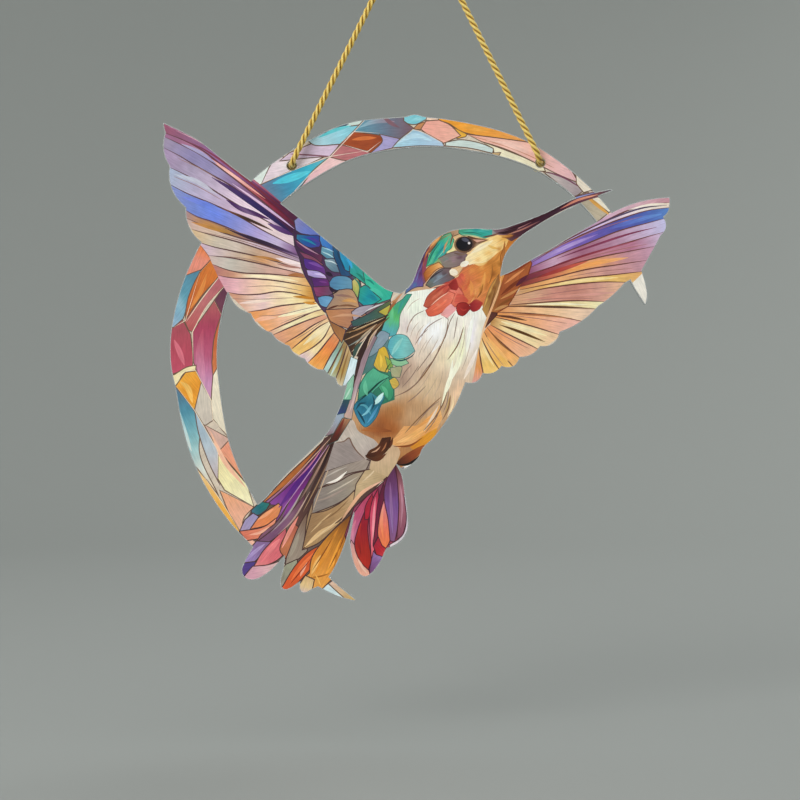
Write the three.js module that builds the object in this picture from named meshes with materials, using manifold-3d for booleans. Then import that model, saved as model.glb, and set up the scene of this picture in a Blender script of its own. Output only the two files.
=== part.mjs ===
// A hanging suncatcher: a hummingbird in flight in front of a crescent moon, cut from one acrylic plate,
// on a twisted cord whose two ends go through the plate and are knotted behind it.
//
// Millimetres, +Z up. The viewer stands on the -Y side and sees the front of the plate, +X to the right.
// The origin is the hanging point: the underside of the cord, where it bends over whatever carries it.

import * as THREE from "three";
import { mergeVertices } from "three/addons/utils/BufferGeometryUtils.js";
import Module from "manifold-3d";

// Plate
const plateThickness = 3;
const plateMidY = 5.3; // the plate hangs behind the plane of the two strands
const edgeStep = 1.3; // longest straight piece of a curved edge

// Crescent moon: the mean radius of its outer edge
const moonRadius = 96.9;
const moonCentreX = -0.8;

// The moon's edge, from its right tip anticlockwise: the angle in degrees, how far the outer edge stands
// out from the mean radius, and the width of the crescent there.
const moonEdge = [
  { angle: 14.1, bulge: -3.0, width: 0.6 },
  { angle: 16.0, bulge: -1.6, width: 3.0 },
  { angle: 18.5, bulge: -0.9, width: 4.8 },
  { angle: 22, bulge: -0.5, width: 5.8 },
  { angle: 30, bulge: 0.3, width: 6.8 },
  { angle: 38, bulge: 0.6, width: 7.1 },
  { angle: 47, bulge: 0.6, width: 7.2 },
  { angle: 57, bulge: 0.7, width: 8.1 },
  { angle: 64, bulge: 0.8, width: 9.4 },
  { angle: 72, bulge: 0.1, width: 10.3 },
  { angle: 83, bulge: -0.3, width: 11.2 },
  { angle: 87.6, bulge: -0.1, width: 11.9 },
  { angle: 90, bulge: 0.8, width: 13.0 },
  { angle: 92.5, bulge: -0.1, width: 12.3 },
  { angle: 97, bulge: 0.0, width: 12.8 },
  { angle: 104, bulge: 0.9, width: 13.9 },
  { angle: 110, bulge: 0.7, width: 14.2 },
  { angle: 120, bulge: -0.3, width: 14.3 },
  { angle: 130, bulge: -0.5, width: 14.6 },
  { angle: 145, bulge: -0.3, width: 16.5 },
  { angle: 160, bulge: -0.2, width: 18.2 },
  { angle: 172, bulge: 0.0, width: 18.8 },
  { angle: 180, bulge: -0.5, width: 18.6 },
  { angle: 187, bulge: -2.0, width: 17.4 },
  { angle: 195, bulge: -1.8, width: 17.0 },
  { angle: 203, bulge: -1.2, width: 16.2 },
  { angle: 212, bulge: -0.8, width: 15.0 },
  { angle: 222, bulge: -0.3, width: 13.2 },
  { angle: 230, bulge: 0.0, width: 11.0 },
];

// The moon's lower tip, which comes out again on the other side of the tail
const moonLowerTip = [
  { angle: 239, bulge: -1.2, width: 7.0 },
  { angle: 246.5, bulge: -0.5, width: 6.4 },
  { angle: 249.5, bulge: 0.0, width: 5.0 },
  { angle: 253, bulge: 0.3, width: 3.1 },
  { angle: 256, bulge: 0.1, width: 0.7 },
];

// Holes for the cord, in the upper part of the moon
const holeDiameter = 3.6;
const holeSides = 32;
const leftHole = { x: -49.4, z: -90.9 };
const rightHole = { x: 48.6, z: -89.7 };
const moonTopToHoles = 18.9; // how far the line of holes lies under the top of the moon

// Bird, drawn in hundredths of its span from wing tip to wing tip, from the moon's centre
const birdSpan = 200;

const leftWingFront = [
  [-49.6, 47.2], [-46.3, 45.7], [-42.3, 43.5], [-36.5, 38.9], [-24.6, 29.9], [-12.8, 20.3], [-5.5, 14.4],
  [-2.8, 13.6],
];

// Where the feathers' ends meet, and how far the end that leads up to there stands out, as a share of its width
const leftFeatherEnds = [
  [-15.7, -3.1, 0], [-17.8, -1.6, 0.13], [-21.8, 0.6, 0.16], [-24.8, 3.1, 0.13], [-28.3, 5.7, 0.1],
  [-32.4, 9.5, 0.13], [-36.8, 13.7, 0.14], [-38.8, 18.4, 0.06], [-42.2, 23.6, 0.05], [-45.2, 30.4, 0.13],
  [-48.4, 38.6, 0.14], [-49.2, 45.2, 0.12], [-49.6, 47.2, 0.05],
];

const rightWingFront = [
  [16.9, 17.1], [19.0, 18.0], [22.6, 20.1], [26.6, 22.3], [30.5, 24.7], [34.4, 26.9], [38.4, 29.3],
  [40.6, 30.4], [44.3, 31.7], [48.2, 32.4], [50.2, 32.5],
];
const rightFeatherEnds = [
  [50.2, 32.5, 0], [50.2, 31.0, 0.05], [49.0, 28.6, 0.14], [48.5, 24.9, 0.22], [44.7, 18.0, 0.0],
  [41.3, 15.5, 0.04], [36.2, 11.0, 0.04], [28.6, 5.9, 0.07], [24.7, 3.0, 0.22], [20.7, 0.9, 0.13],
  [17.1, -0.9, 0.26], [13.4, -2.3, 0.16], [10.0, -4.1, 0.22],
];
const featherEndSteps = 6;

const crownAndBeak = [
  [-2.8, 13.6], [-0.8, 15.4], [0.6, 18.9], [2.0, 22.0], [4.1, 24.4], [7.3, 26.0], [11.8, 26.4], [16.7, 26.3],
  [19.7, 27.2], [23.6, 28.6], [26.6, 29.9], [30.5, 31.9], [34.4, 33.2], [38.6, 34.1],
];
const throat = [
  [39.0, 33.8], [36.4, 32.8], [32.5, 31.2], [29.5, 29.8], [26.6, 28.3], [23.7, 26.6], [21.0, 24.8],
  [19.4, 23.3], [17.9, 21.2], [17.2, 18.9], [16.9, 17.1],
];
const belly = [
  [10.0, -4.1], [8.3, -8.1], [6.1, -11.8], [3.5, -15.2], [1.6, -17.0], [0.8, -18.8], [-0.9, -20.4],
  [-2.4, -21.1], [-3.6, -20.2],
];
const flank = [
  [-18.2, -15.0], [-16.6, -12.8], [-15.6, -10.5], [-14.4, -7.7], [-13.5, -4.5],
];

// Tail: the edge of each feather or spray of feathers, anticlockwise round the tail from its root
const outerTail = [
  [-18.2, -15.0], [-21.7, -18.4], [-25.6, -22.2], [-29.4, -26.6], [-31.2, -28.2], [-33.0, -30.0],
  [-34.0, -32.2], [-34.1, -33.6], [-33.3, -35.0], [-32.0, -36.4],
];
const secondFeather = [
  [-32.0, -36.4], [-33.4, -38.8], [-34.2, -41.0], [-33.8, -42.2], [-32.6, -42.9], [-31.0, -42.7],
  [-28.9, -41.5], [-27.2, -39.9], [-25.7, -38.2],
];
const thirdFeather = [
  [-25.7, -38.2], [-26.1, -41.0], [-26.6, -43.2], [-26.3, -44.5], [-25.5, -44.9], [-24.4, -44.5],
  [-22.7, -43.3],
];
const fourthFeather = [
  [-22.7, -43.3], [-22.8, -44.6], [-22.2, -45.4], [-21.3, -45.4], [-20.3, -44.8],
];
const fifthFeather = [
  [-20.3, -44.8], [-18.6, -44.0], [-16.9, -42.3], [-15.5, -40.0], [-14.3, -37.3], [-13.2, -34.1],
  [-12.5, -31.3], [-12.0, -29.6],
];
const redFan = [
  [-12.0, -29.6], [-12.6, -32.8], [-12.9, -35.0], [-12.6, -37.6], [-11.9, -40.2], [-10.7, -42.0],
  [-9.6, -42.3], [-8.2, -41.3], [-6.8, -39.4], [-5.6, -36.8],
];
const roseFan = [
  [-5.6, -36.8], [-4.2, -36.2], [-2.4, -34.9], [-1.4, -32.8], [-1.4, -30.0], [-1.9, -26.0], [-2.6, -22.0],
  [-3.6, -20.2],
];
const tanFeather = [
  [-13.5, -4.5], [-14.6, -4.8], [-15.3, -4.3], [-15.7, -3.1],
];

// Cord
const cordDiameter = 2.5;
const cordSides = 8;
const cordSteps = 80;

// The cord's centre line from one end, behind the left hole, over the hanging point to the other end
const cordRoute = [
  [-49.4, 6.8, -90.9], [-49.4, 5.0, -90.9], [-49.1, 2.5, -90.3], [-48.3, 0.7, -88.7], [-47.2, 0, -86.4],
  [-44.0, 0, -80.0], [-35.0, 0, -61.8], [-25.0, 0, -41.7], [-15.0, 0, -21.5], [-8.0, 0, -7.4],
  [-5.4, 0, -2.1], [-3.2, 0, 0.3], [0, 0, 1.25], [3.2, 0, 0.3], [5.4, 0, -2.1],
  [8.0, 0, -7.4], [15.0, 0, -21.6], [25.0, 0, -41.9], [35.0, 0, -62.1], [43.2, 0, -78.8],
  [46.4, 0, -85.2], [47.5, 0.7, -87.5], [48.3, 2.5, -89.1], [48.6, 5.0, -89.7], [48.6, 6.8, -89.7],
];

// Knots behind the plate
const knotDiameter = 6.6;
const knotLength = 6;
const knotTailLength = 5;
const knotSides = 20;
const meetingGap = 0.3;

// Worked out from the sizes above
const share = birdSpan / 100;
const plateBackY = plateMidY + plateThickness / 2;
const holeLineZ = (leftHole.z + rightHole.z) / 2;
const moonCentreZ = holeLineZ + moonTopToHoles - moonRadius;

const acrylic = new THREE.MeshStandardMaterial({ color: 0xd9b48c, roughness: 0.12, metalness: 0 });
const goldCord = new THREE.MeshStandardMaterial({ color: 0xc9a24a, roughness: 0.6, metalness: 0.1 });

const wasm = await Module();
wasm.setup();

// A closed three.js shape as a solid that can be joined and cut
function solidOf(geometry) {
  const bare = geometry.index ? geometry.toNonIndexed() : geometry.clone();
  bare.deleteAttribute("normal");
  bare.deleteAttribute("uv");
  const merged = mergeVertices(bare, 1e-4);
  return new wasm.Manifold(
    new wasm.Mesh({
      numProp: 3,
      vertProperties: new Float32Array(merged.attributes.position.array),
      triVerts: new Uint32Array(merged.index.array),
    }),
  );
}

function geometryOf(solid) {
  const mesh = solid.getMesh();
  const geometry = new THREE.BufferGeometry();
  geometry.setAttribute("position", new THREE.BufferAttribute(new Float32Array(mesh.vertProperties), 3));
  geometry.setIndex(new THREE.BufferAttribute(new Uint32Array(mesh.triVerts), 1));
  geometry.computeVertexNormals();
  return geometry;
}

// A smooth line through places in the plane of the plate, in millimetres
function smoothThrough(places) {
  const points = places.map((place) => new THREE.Vector3(place.x, place.y, 0));
  const curve = new THREE.CatmullRomCurve3(points, false, "centripetal");
  const steps = Math.max(2, Math.ceil(curve.getLength() / edgeStep));
  return curve.getSpacedPoints(steps).map((point) => new THREE.Vector2(point.x, point.y));
}

const birdPlace = ([across, up]) => new THREE.Vector2(across * share, up * share);

const birdEdge = (places) => smoothThrough(places.map(birdPlace));

// The edge of a wing past the ends of its feathers, clockwise round the wing: a shallow round step for each
function featherEnds(ends) {
  const edge = [birdPlace(ends[0])];
  for (const end of ends.slice(1)) {
    const from = edge[edge.length - 1];
    const to = birdPlace(end);
    const standOut = 2 * end[2]; // the middle of the arc reaches half way to its control point
    const outwards = new THREE.Vector2(from.y - to.y, to.x - from.x).multiplyScalar(standOut);
    const control = from.clone().lerp(to, 0.5).add(outwards);
    const arc = new THREE.QuadraticBezierCurve(from, control, to);
    edge.push(...arc.getPoints(featherEndSteps).slice(1));
  }
  return edge;
}

// A flat form of the plate's full thickness, standing in the plane of the plate
function plateForm(outline) {
  const spaced = outline.filter((point, i) => i === 0 || point.distanceTo(outline[i - 1]) > 1e-3);
  if (spaced[0].distanceTo(spaced[spaced.length - 1]) < 1e-3) {
    spaced.pop();
  }
  const geometry = new THREE.ExtrudeGeometry(new THREE.Shape(spaced), {
    depth: plateThickness,
    bevelEnabled: false,
  });
  geometry.translate(0, 0, -plateThickness / 2);
  geometry.rotateX(Math.PI / 2);
  return solidOf(geometry);
}

function moonPlace(angle, radius) {
  const turn = THREE.MathUtils.degToRad(angle);
  return new THREE.Vector2(radius * Math.cos(turn), radius * Math.sin(turn));
}

function moonForm(edge) {
  const outer = edge.map(({ angle, bulge }) => moonPlace(angle, moonRadius + bulge));
  const inner = edge.map(({ angle, bulge, width }) => moonPlace(angle, moonRadius + bulge - width));
  return plateForm([...smoothThrough(outer), ...smoothThrough(inner).reverse()]);
}

function birdForms() {
  const leftWing = [
    ...birdEdge(leftWingFront),
    birdPlace([-6, 5]),
    birdPlace([-12.5, -2]),
    ...birdEdge(tanFeather),
    ...featherEnds(leftFeatherEnds),
  ];
  const rightWing = [
    ...birdEdge(rightWingFront),
    ...featherEnds(rightFeatherEnds),
    birdPlace([8, 4]),
    birdPlace([12, 14]),
  ];
  const headAndBody = [
    ...birdEdge(crownAndBeak),
    ...birdEdge(throat),
    birdPlace([16, 8]),
    birdPlace([13, -2]),
    ...birdEdge(belly),
    birdPlace([-14, -22]),
    ...birdEdge(flank),
    birdPlace([-10, 6]),
  ];
  const tail = [
    ...birdEdge(outerTail),
    ...birdEdge(secondFeather),
    ...birdEdge(thirdFeather),
    ...birdEdge(fourthFeather),
    ...birdEdge(fifthFeather),
    ...birdEdge(redFan),
    ...birdEdge(roseFan),
    birdPlace([-5, -14]),
  ];
  return [leftWing, rightWing, headAndBody, tail].map(plateForm);
}

function cordHole({ x, z }) {
  const drill = new THREE.CylinderGeometry(holeDiameter / 2, holeDiameter / 2, 2 * plateThickness, holeSides);
  drill.translate(x - moonCentreX, 0, z - moonCentreZ);
  return solidOf(drill);
}

function makePanel() {
  const forms = [moonForm(moonEdge), moonForm(moonLowerTip), ...birdForms()];
  const joined = forms.reduce((whole, form) => whole.add(form));
  const drilled = [leftHole, rightHole].reduce((whole, hole) => whole.subtract(cordHole(hole)), joined);
  const panel = new THREE.Mesh(geometryOf(drilled), acrylic);
  panel.name = "suncatcher_panel";
  panel.position.set(moonCentreX, plateMidY, moonCentreZ);
  return panel;
}

function makeCord() {
  const section = new THREE.Shape();
  for (let i = 0; i < cordSides; i += 1) {
    const turn = (2 * Math.PI * i) / cordSides;
    const x = (cordDiameter / 2) * Math.cos(turn);
    const y = (cordDiameter / 2) * Math.sin(turn);
    if (i === 0) {
      section.moveTo(x, y);
    } else {
      section.lineTo(x, y);
    }
  }
  section.closePath();
  const route = cordRoute.map(([x, y, z]) => new THREE.Vector3(x, y, z));
  const geometry = new THREE.ExtrudeGeometry(section, {
    steps: cordSteps,
    bevelEnabled: false,
    extrudePath: new THREE.CatmullRomCurve3(route, false, "centripetal"),
  });
  const cord = new THREE.Mesh(geometry, goldCord);
  cord.name = "hanging_cord";
  return cord;
}

// A knot behind a hole: a rounded barrel with the cord's short end standing out of its back
function makeKnot(name, { x, z }) {
  const half = knotDiameter / 2;
  const tail = cordDiameter / 2;
  const profile = [
    [0, 0], [half * 0.55, 0], [half * 0.85, knotLength * 0.12], [half, knotLength * 0.35],
    [half, knotLength * 0.65], [half * 0.85, knotLength * 0.88], [half * 0.55, knotLength],
    [tail, knotLength], [tail, knotLength + knotTailLength], [0, knotLength + knotTailLength],
  ].map(([radius, along]) => new THREE.Vector2(radius, along));
  const knot = new THREE.Mesh(new THREE.LatheGeometry(profile, knotSides), goldCord);
  knot.name = name;
  knot.position.set(x, plateBackY + meetingGap, z);
  return knot;
}

const suncatcher = new THREE.Group();
suncatcher.name = "suncatcher";
suncatcher.add(makePanel());
suncatcher.add(makeCord());
suncatcher.add(makeKnot("cord_knot_left", leftHole));
suncatcher.add(makeKnot("cord_knot_right", rightHole));

export default suncatcher;
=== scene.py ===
"""An acrylic suncatcher: a clear cut plate with a glossy print on its face, hung on a twisted gold cord.

The plate is part of the fixed frame and only gets its material. The print is a thin film of ink
on its front face, drawn here patch by patch. The cord and its two knots are twisted from strands.
"""

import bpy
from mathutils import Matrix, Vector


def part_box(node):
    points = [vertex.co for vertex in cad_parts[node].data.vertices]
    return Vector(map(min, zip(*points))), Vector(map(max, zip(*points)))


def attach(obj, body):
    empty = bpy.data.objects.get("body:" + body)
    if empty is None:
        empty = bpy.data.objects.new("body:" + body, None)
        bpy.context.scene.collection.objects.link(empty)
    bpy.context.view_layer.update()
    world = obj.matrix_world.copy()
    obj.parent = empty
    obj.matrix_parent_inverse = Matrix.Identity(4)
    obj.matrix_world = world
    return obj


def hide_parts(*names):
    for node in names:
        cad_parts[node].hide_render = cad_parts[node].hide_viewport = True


bl_info = {
    "name": "Acrylic suncatcher",
    "version": (1, 0, 0),
    "blender": (4, 5, 0),
    "location": "View3D > Sidebar > Suncatcher",
    "description": "Dresses the cut plate with its print, cord, knots and studio",
    "category": "Object",
}

import math

import bpy
import numpy as np
from mathutils import Vector
from mathutils.geometry import delaunay_2d_cdt

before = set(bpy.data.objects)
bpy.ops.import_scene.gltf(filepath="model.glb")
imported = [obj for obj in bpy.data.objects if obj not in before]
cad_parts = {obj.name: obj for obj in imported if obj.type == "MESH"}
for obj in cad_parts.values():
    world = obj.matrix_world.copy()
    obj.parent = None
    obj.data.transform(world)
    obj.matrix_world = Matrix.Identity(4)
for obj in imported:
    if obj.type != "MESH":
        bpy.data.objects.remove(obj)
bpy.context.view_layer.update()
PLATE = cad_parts["suncatcher_panel"]

# Driving sizes, in metres
PLATE_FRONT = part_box("suncatcher_panel")[0].y
PLATE_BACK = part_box("suncatcher_panel")[1].y
UNIT = 0.002
MOON_X = -0.0008
MOON_Z = -0.1683
MILLIMETRE = 0.001
PICTURE_X = -0.0067
PICTURE_Z = -0.1832

# The cord's route in millimetres, from the left hole over the hanging point to the right hole
CORD_ROUTE = (
    (-49.4, 6.8, -90.9), (-49.4, 5.0, -90.9), (-49.1, 2.5, -90.3), (-48.3, 0.7, -88.7),
    (-47.2, 0, -86.4), (-44.0, 0, -80.0), (-35.0, 0, -61.8), (-25.0, 0, -41.7),
    (-15.0, 0, -21.5), (-8.0, 0, -7.4), (-5.4, 0, -2.1), (-3.2, 0, 0.3),
    (0, 0, 1.25), (3.2, 0, 0.3), (5.4, 0, -2.1), (8.0, 0, -7.4),
    (15.0, 0, -21.6), (25.0, 0, -41.9), (35.0, 0, -62.1), (43.2, 0, -78.8),
    (46.4, 0, -85.2), (47.5, 0.7, -87.5), (48.3, 2.5, -89.1), (48.6, 5.0, -89.7),
    (48.6, 6.8, -89.7),
)

# How the print is stepped, in hundredths of the wing span
CURVE_STEP = 0.6
GRID_STEP = 0.8
LINE_WIDTH = 0.2
LINE_COLOUR = "6B5140"
MERGE_DISTANCE = 1e-4
SPOT_SIDES = 24

# Guards against a division by nothing
SHORTEST = 1e-9
SHORTEST_AXIS = 1e-6
SHORTEST_SQUARE = 1e-12
FLATTEST = 1e-30

# A drawn line: how full its ends are, its thinnest share of the width, and the least cosine of half a bend
FAN_FULLNESS = 0.5
STROKE_FULLNESS = 0.7
LEAF_FULLNESS = 0.25
THINNEST = 0.12
LEAST_COSINE = 0.6

# What lies under every pane of the print
SHEET_OUTLINE = "-52,-50 52,-50 52,52 -52,52"
SHEET_COLOUR = "D8C8B4"

# How the plate's front face is found and read, in metres
FRONT_TOLERANCE = 0.1 * MILLIMETRE
READING_STEP = 0.001 * MILLIMETRE

# The share of the margin that a printed triangle's centre keeps, and the shift of the streaks per patch
KEPT_MARGIN = 0.9
STREAK_SHIFT = (7.3, 3.1)

# A strand of the cord: the length of its steps in metres, and its sides
STRAND_STEP = 0.45 * MILLIMETRE
STRAND_SIDES = 10

# How much a line's start may point up for its first direction across to be taken from the vertical
NEARLY_UPRIGHT = 0.9

# A knot: its turns and steps, and in millimetres its coil's radius and its places behind the plate.
# The coil widens from its entry share of the radius, and narrows in the same way at its end.
KNOT_TURNS = 1.9
KNOT_RADIUS = 2.0
KNOT_STEPS = 36
KNOT_CLEARANCE = 0.3
KNOT_START = 1.4
KNOT_END = 4.6
KNOT_TAIL_START = 6.2
KNOT_TAIL_END = 11
KNOT_ENTRY = 0.25
KNOT_WIDENING = 6
KNOT_CURVE_STEP = 0.3

# Shader values, where a noise stays mostly between its low and its high value
NOISE_LOW = 0.3
NOISE_HIGH = 0.7
ACRYLIC_IOR = 1.49
ACRYLIC_CLEARNESS = 0.8
POLISH_NOISE = {"Scale": 90.0, "Detail": 2.0}
POLISH_BUMP = {"Strength": 0.04, "Distance": 0.0003}
INK_COAT = 0.15
INK_COAT_ROUGHNESS = 0.08
INK_SPECULAR = 0.3
STREAK_STRETCH = (0.35, 4.5, 1.0)
STREAK_NOISE = {"Scale": 1.0, "Detail": 3.0, "Roughness": 0.6}
STREAK_TONES = (0.84, 1.14)
MOTTLE_NOISE = {"Scale": 260.0, "Detail": 3.0, "Roughness": 0.55}
MOTTLE_TONES = (0.92, 1.08)
INK_BUMP = {"Strength": 0.12, "Distance": 0.0002}
CORD_ROUGHNESS = 0.42
CORD_SHEEN = 0.3
CORD_SHEEN_ROUGHNESS = 0.4
# Where the cord's painted shade in the grooves, its flank tone and its painted highlight on the crests sit,
# by how far the surface stands out
GROOVE_SHADE_AT = 0.52
FLANK_AT = 0.78
CREST_HIGHLIGHT_AT = 0.98
FIBRE_PLACE = {"Scale": (0.9, 9.0, 1.0), "Rotation": (0, 0, 0.25)}
FIBRE_NOISE = {"Scale": 2.0, "Detail": 2.0}
FIBRE_TONES = (0.75, 1.2)
FIBRE_BUMP = {"Strength": 0.5, "Distance": 0.0002}
PAPER_ROUGHNESS = 0.9

# The studio: each light's name, place, size in metres and power in watts, then the sky and the bowl
LIGHTS = (
    ("key_light", (-0.9, -1.25, 0.45), 1.0, 20.0),
    ("fill_light", (1.0, -1.1, -0.1), 1.0, 4.0),
    ("back_light", (0.9, 1.2, 0.9), 1.2, 9.0),
)
SKY_COLOUR = (0.95, 0.97, 1.0, 1)
SKY_STRENGTH = 0.95
FLOOR_SHARE = 0.55
BEND_SHARE = 0.45
BEND_STEPS = 12
BOWL_SIDES = 64
SENSOR_WIDTH = 36
CLIP_START = 0.01


class PlateSettings(bpy.types.PropertyGroup):
    """The clear acrylic."""

    tint: bpy.props.FloatVectorProperty(
        name="Tint", description="Colour of the clear acrylic", subtype="COLOR",
        size=4, min=0, max=1, default=(0.97, 0.99, 0.985, 1))
    roughness: bpy.props.FloatProperty(
        name="Roughness", description="How dull the acrylic's faces are",
        default=0.03, min=0, max=1, subtype="FACTOR")


class PrintSettings(bpy.types.PropertyGroup):
    """The film of ink on the plate's face."""

    margin: bpy.props.FloatProperty(
        name="Clear margin", description="Bare acrylic between the print and the cut edge",
        default=0.00032, min=0, max=0.003, unit="LENGTH")
    thickness: bpy.props.FloatProperty(
        name="Ink thickness", description="Thickness of the film of ink",
        default=0.00005, min=0.00001, max=0.0005, unit="LENGTH")
    gap: bpy.props.FloatProperty(
        name="Gap", description="Distance of the film from the plate's face",
        default=0.00001, min=0, max=0.0005, unit="LENGTH")
    roughness: bpy.props.FloatProperty(
        name="Roughness", description="How dull the ink is",
        default=0.3, min=0, max=1, subtype="FACTOR")


class CordSettings(bpy.types.PropertyGroup):
    """The gold cord and its knots."""

    diameter: bpy.props.FloatProperty(
        name="Diameter", description="Outer diameter of the twisted cord",
        default=0.0025, min=0.001, max=0.006, unit="LENGTH")
    strand: bpy.props.FloatProperty(
        name="Strand diameter", description="Diameter of each of the strands",
        default=0.00116, min=0.0003, max=0.003, unit="LENGTH")
    pitch: bpy.props.FloatProperty(
        name="Pitch", description="Length in which a strand goes once round the cord",
        default=0.0097, min=0.004, max=0.05, unit="LENGTH")
    strands: bpy.props.IntProperty(
        name="Strands", description="Number of strands that are twisted together",
        default=3, min=2, max=6)
    # Painted highlight: the pale colour put on the strands where they stand out
    crest_highlight: bpy.props.FloatVectorProperty(
        name="Crest", description="Colour of the strands where they stand out",
        subtype="COLOR", size=4, min=0, max=1, default=(0.88, 0.66, 0.17, 1))
    flank: bpy.props.FloatVectorProperty(
        name="Flank", description="Colour of the strands' sides",
        subtype="COLOR", size=4, min=0, max=1, default=(0.62, 0.35, 0.03, 1))
    # Painted shade: the dark colour put in the grooves between the strands
    groove_shade: bpy.props.FloatVectorProperty(
        name="Groove", description="Colour of the grooves between the strands",
        subtype="COLOR", size=4, min=0, max=1, default=(0.20, 0.10, 0.01, 1))


class StageSettings(bpy.types.PropertyGroup):
    """The studio round the object."""

    paper: bpy.props.FloatVectorProperty(
        name="Paper", description="Colour of the floor and wall",
        subtype="COLOR", size=4, min=0, max=1, default=(0.30, 0.315, 0.295, 1))
    floor_height: bpy.props.FloatProperty(
        name="Floor height", description="Height of the floor below the hanging point",
        default=-0.32, min=-3, max=-0.27, unit="LENGTH")
    wall_radius: bpy.props.FloatProperty(
        name="Wall radius", description="Radius of the round wall",
        default=1.9, min=1, max=5, unit="LENGTH")
    lens: bpy.props.FloatProperty(
        name="Lens", description="Focal length of the camera, in millimetres",
        default=85, min=20, max=200)
    distance: bpy.props.FloatProperty(
        name="Camera distance", description="Distance of the camera from the plate's face",
        default=0.744, min=0.2, max=5, unit="LENGTH")


def settings(context):
    """All settings, as the scene keeps them."""
    return context.scene.suncatcher


class SuncatcherSettings(bpy.types.PropertyGroup):
    """All settings of the suncatcher."""

    plate: bpy.props.PointerProperty(type=PlateSettings, name="Plate", description="The clear acrylic")
    ink: bpy.props.PointerProperty(type=PrintSettings, name="Print", description="The film of ink")
    cord: bpy.props.PointerProperty(type=CordSettings, name="Cord", description="The cord and its knots")
    stage: bpy.props.PointerProperty(type=StageSettings, name="Stage", description="The studio")


# Curves

def curve_through(points, step):
    """A centripetal Catmull-Rom curve through the points, in steps of about the given length."""
    points = np.asarray(points, float)
    first = 2 * points[0] - points[1]
    last = 2 * points[-1] - points[-2]
    knots = np.vstack([first, points, last])
    made = [points[0]]
    for i in range(1, len(knots) - 2):
        made.extend(curve_span(knots[i - 1:i + 3], step))
    return np.array(made)


def curve_span(four, step):
    """The curve's points after the second of four knots, up to and with the third."""
    p0, p1, p2, p3 = four
    t1 = math.sqrt(np.linalg.norm(p1 - p0))
    t2 = t1 + math.sqrt(np.linalg.norm(p2 - p1))
    t3 = t2 + math.sqrt(np.linalg.norm(p3 - p2))
    count = max(1, math.ceil(np.linalg.norm(p2 - p1) / step))
    made = []
    for t in np.linspace(t1, t2, count + 1)[1:]:
        a1 = p0 * (t1 - t) / t1 + p1 * t / t1
        a2 = p1 * (t2 - t) / (t2 - t1) + p2 * (t - t1) / (t2 - t1)
        a3 = p2 * (t3 - t) / (t3 - t2) + p3 * (t - t2) / (t3 - t2)
        b1 = a1 * (t2 - t) / t2 + a2 * t / t2
        b2 = a2 * (t3 - t) / (t3 - t1) + a3 * (t - t1) / (t3 - t1)
        made.append(b1 * (t2 - t) / (t2 - t1) + b2 * (t - t1) / (t2 - t1))
    return made


def read_points(text):
    """Reads 'x,z x,z~ x,z' as points, and which of them, marked ~, the outline passes smoothly."""
    points = []
    smooth = []
    for word in text.split():
        smooth.append(word.endswith("~"))
        points.append([float(part) for part in word.rstrip("~").split(",")])
    return np.array(points), smooth


def trace(text, closed):
    """The line that a string of points stands for. An open line ends in corners, a closed one has some."""
    points, smooth = read_points(text)
    count = len(points)
    corners = [i for i in range(count) if not smooth[i]]
    if not closed:
        corners = sorted({0, count - 1, *corners})
        stretches = list(zip(corners, corners[1:]))
    else:
        stretches = list(zip(corners, corners[1:] + [corners[0] + count]))
    line = []
    for start, end in stretches:
        run = points[[i % count for i in range(start, end + 1)]]
        if len(run) > 2:
            run = curve_through(run, CURVE_STEP)
        line.extend(run[:-1])
    if not closed:
        line.append(points[-1])
    return np.array(line)


def unit_rows(rows):
    """Each row as a direction of length 1."""
    return rows / np.maximum(np.linalg.norm(rows, axis=1, keepdims=True), SHORTEST)


def beside(line, distance, closed):
    """The line's points moved to its left by the distance, which may differ from point to point."""
    if closed:
        before = line - np.roll(line, 1, 0)
        after = np.roll(line, -1, 0) - line
    else:
        steps = np.diff(line, axis=0)
        before = np.vstack([steps[:1], steps])
        after = np.vstack([steps, steps[-1:]])
    before = unit_rows(before)
    after = unit_rows(after)
    middle = unit_rows(before + after)
    left = np.column_stack([-middle[:, 1], middle[:, 0]])
    widening = 1 / np.maximum((middle * after).sum(1), LEAST_COSINE)
    return line + left * (np.broadcast_to(distance, len(line)) * widening)[:, None]


# The drawing

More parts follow.
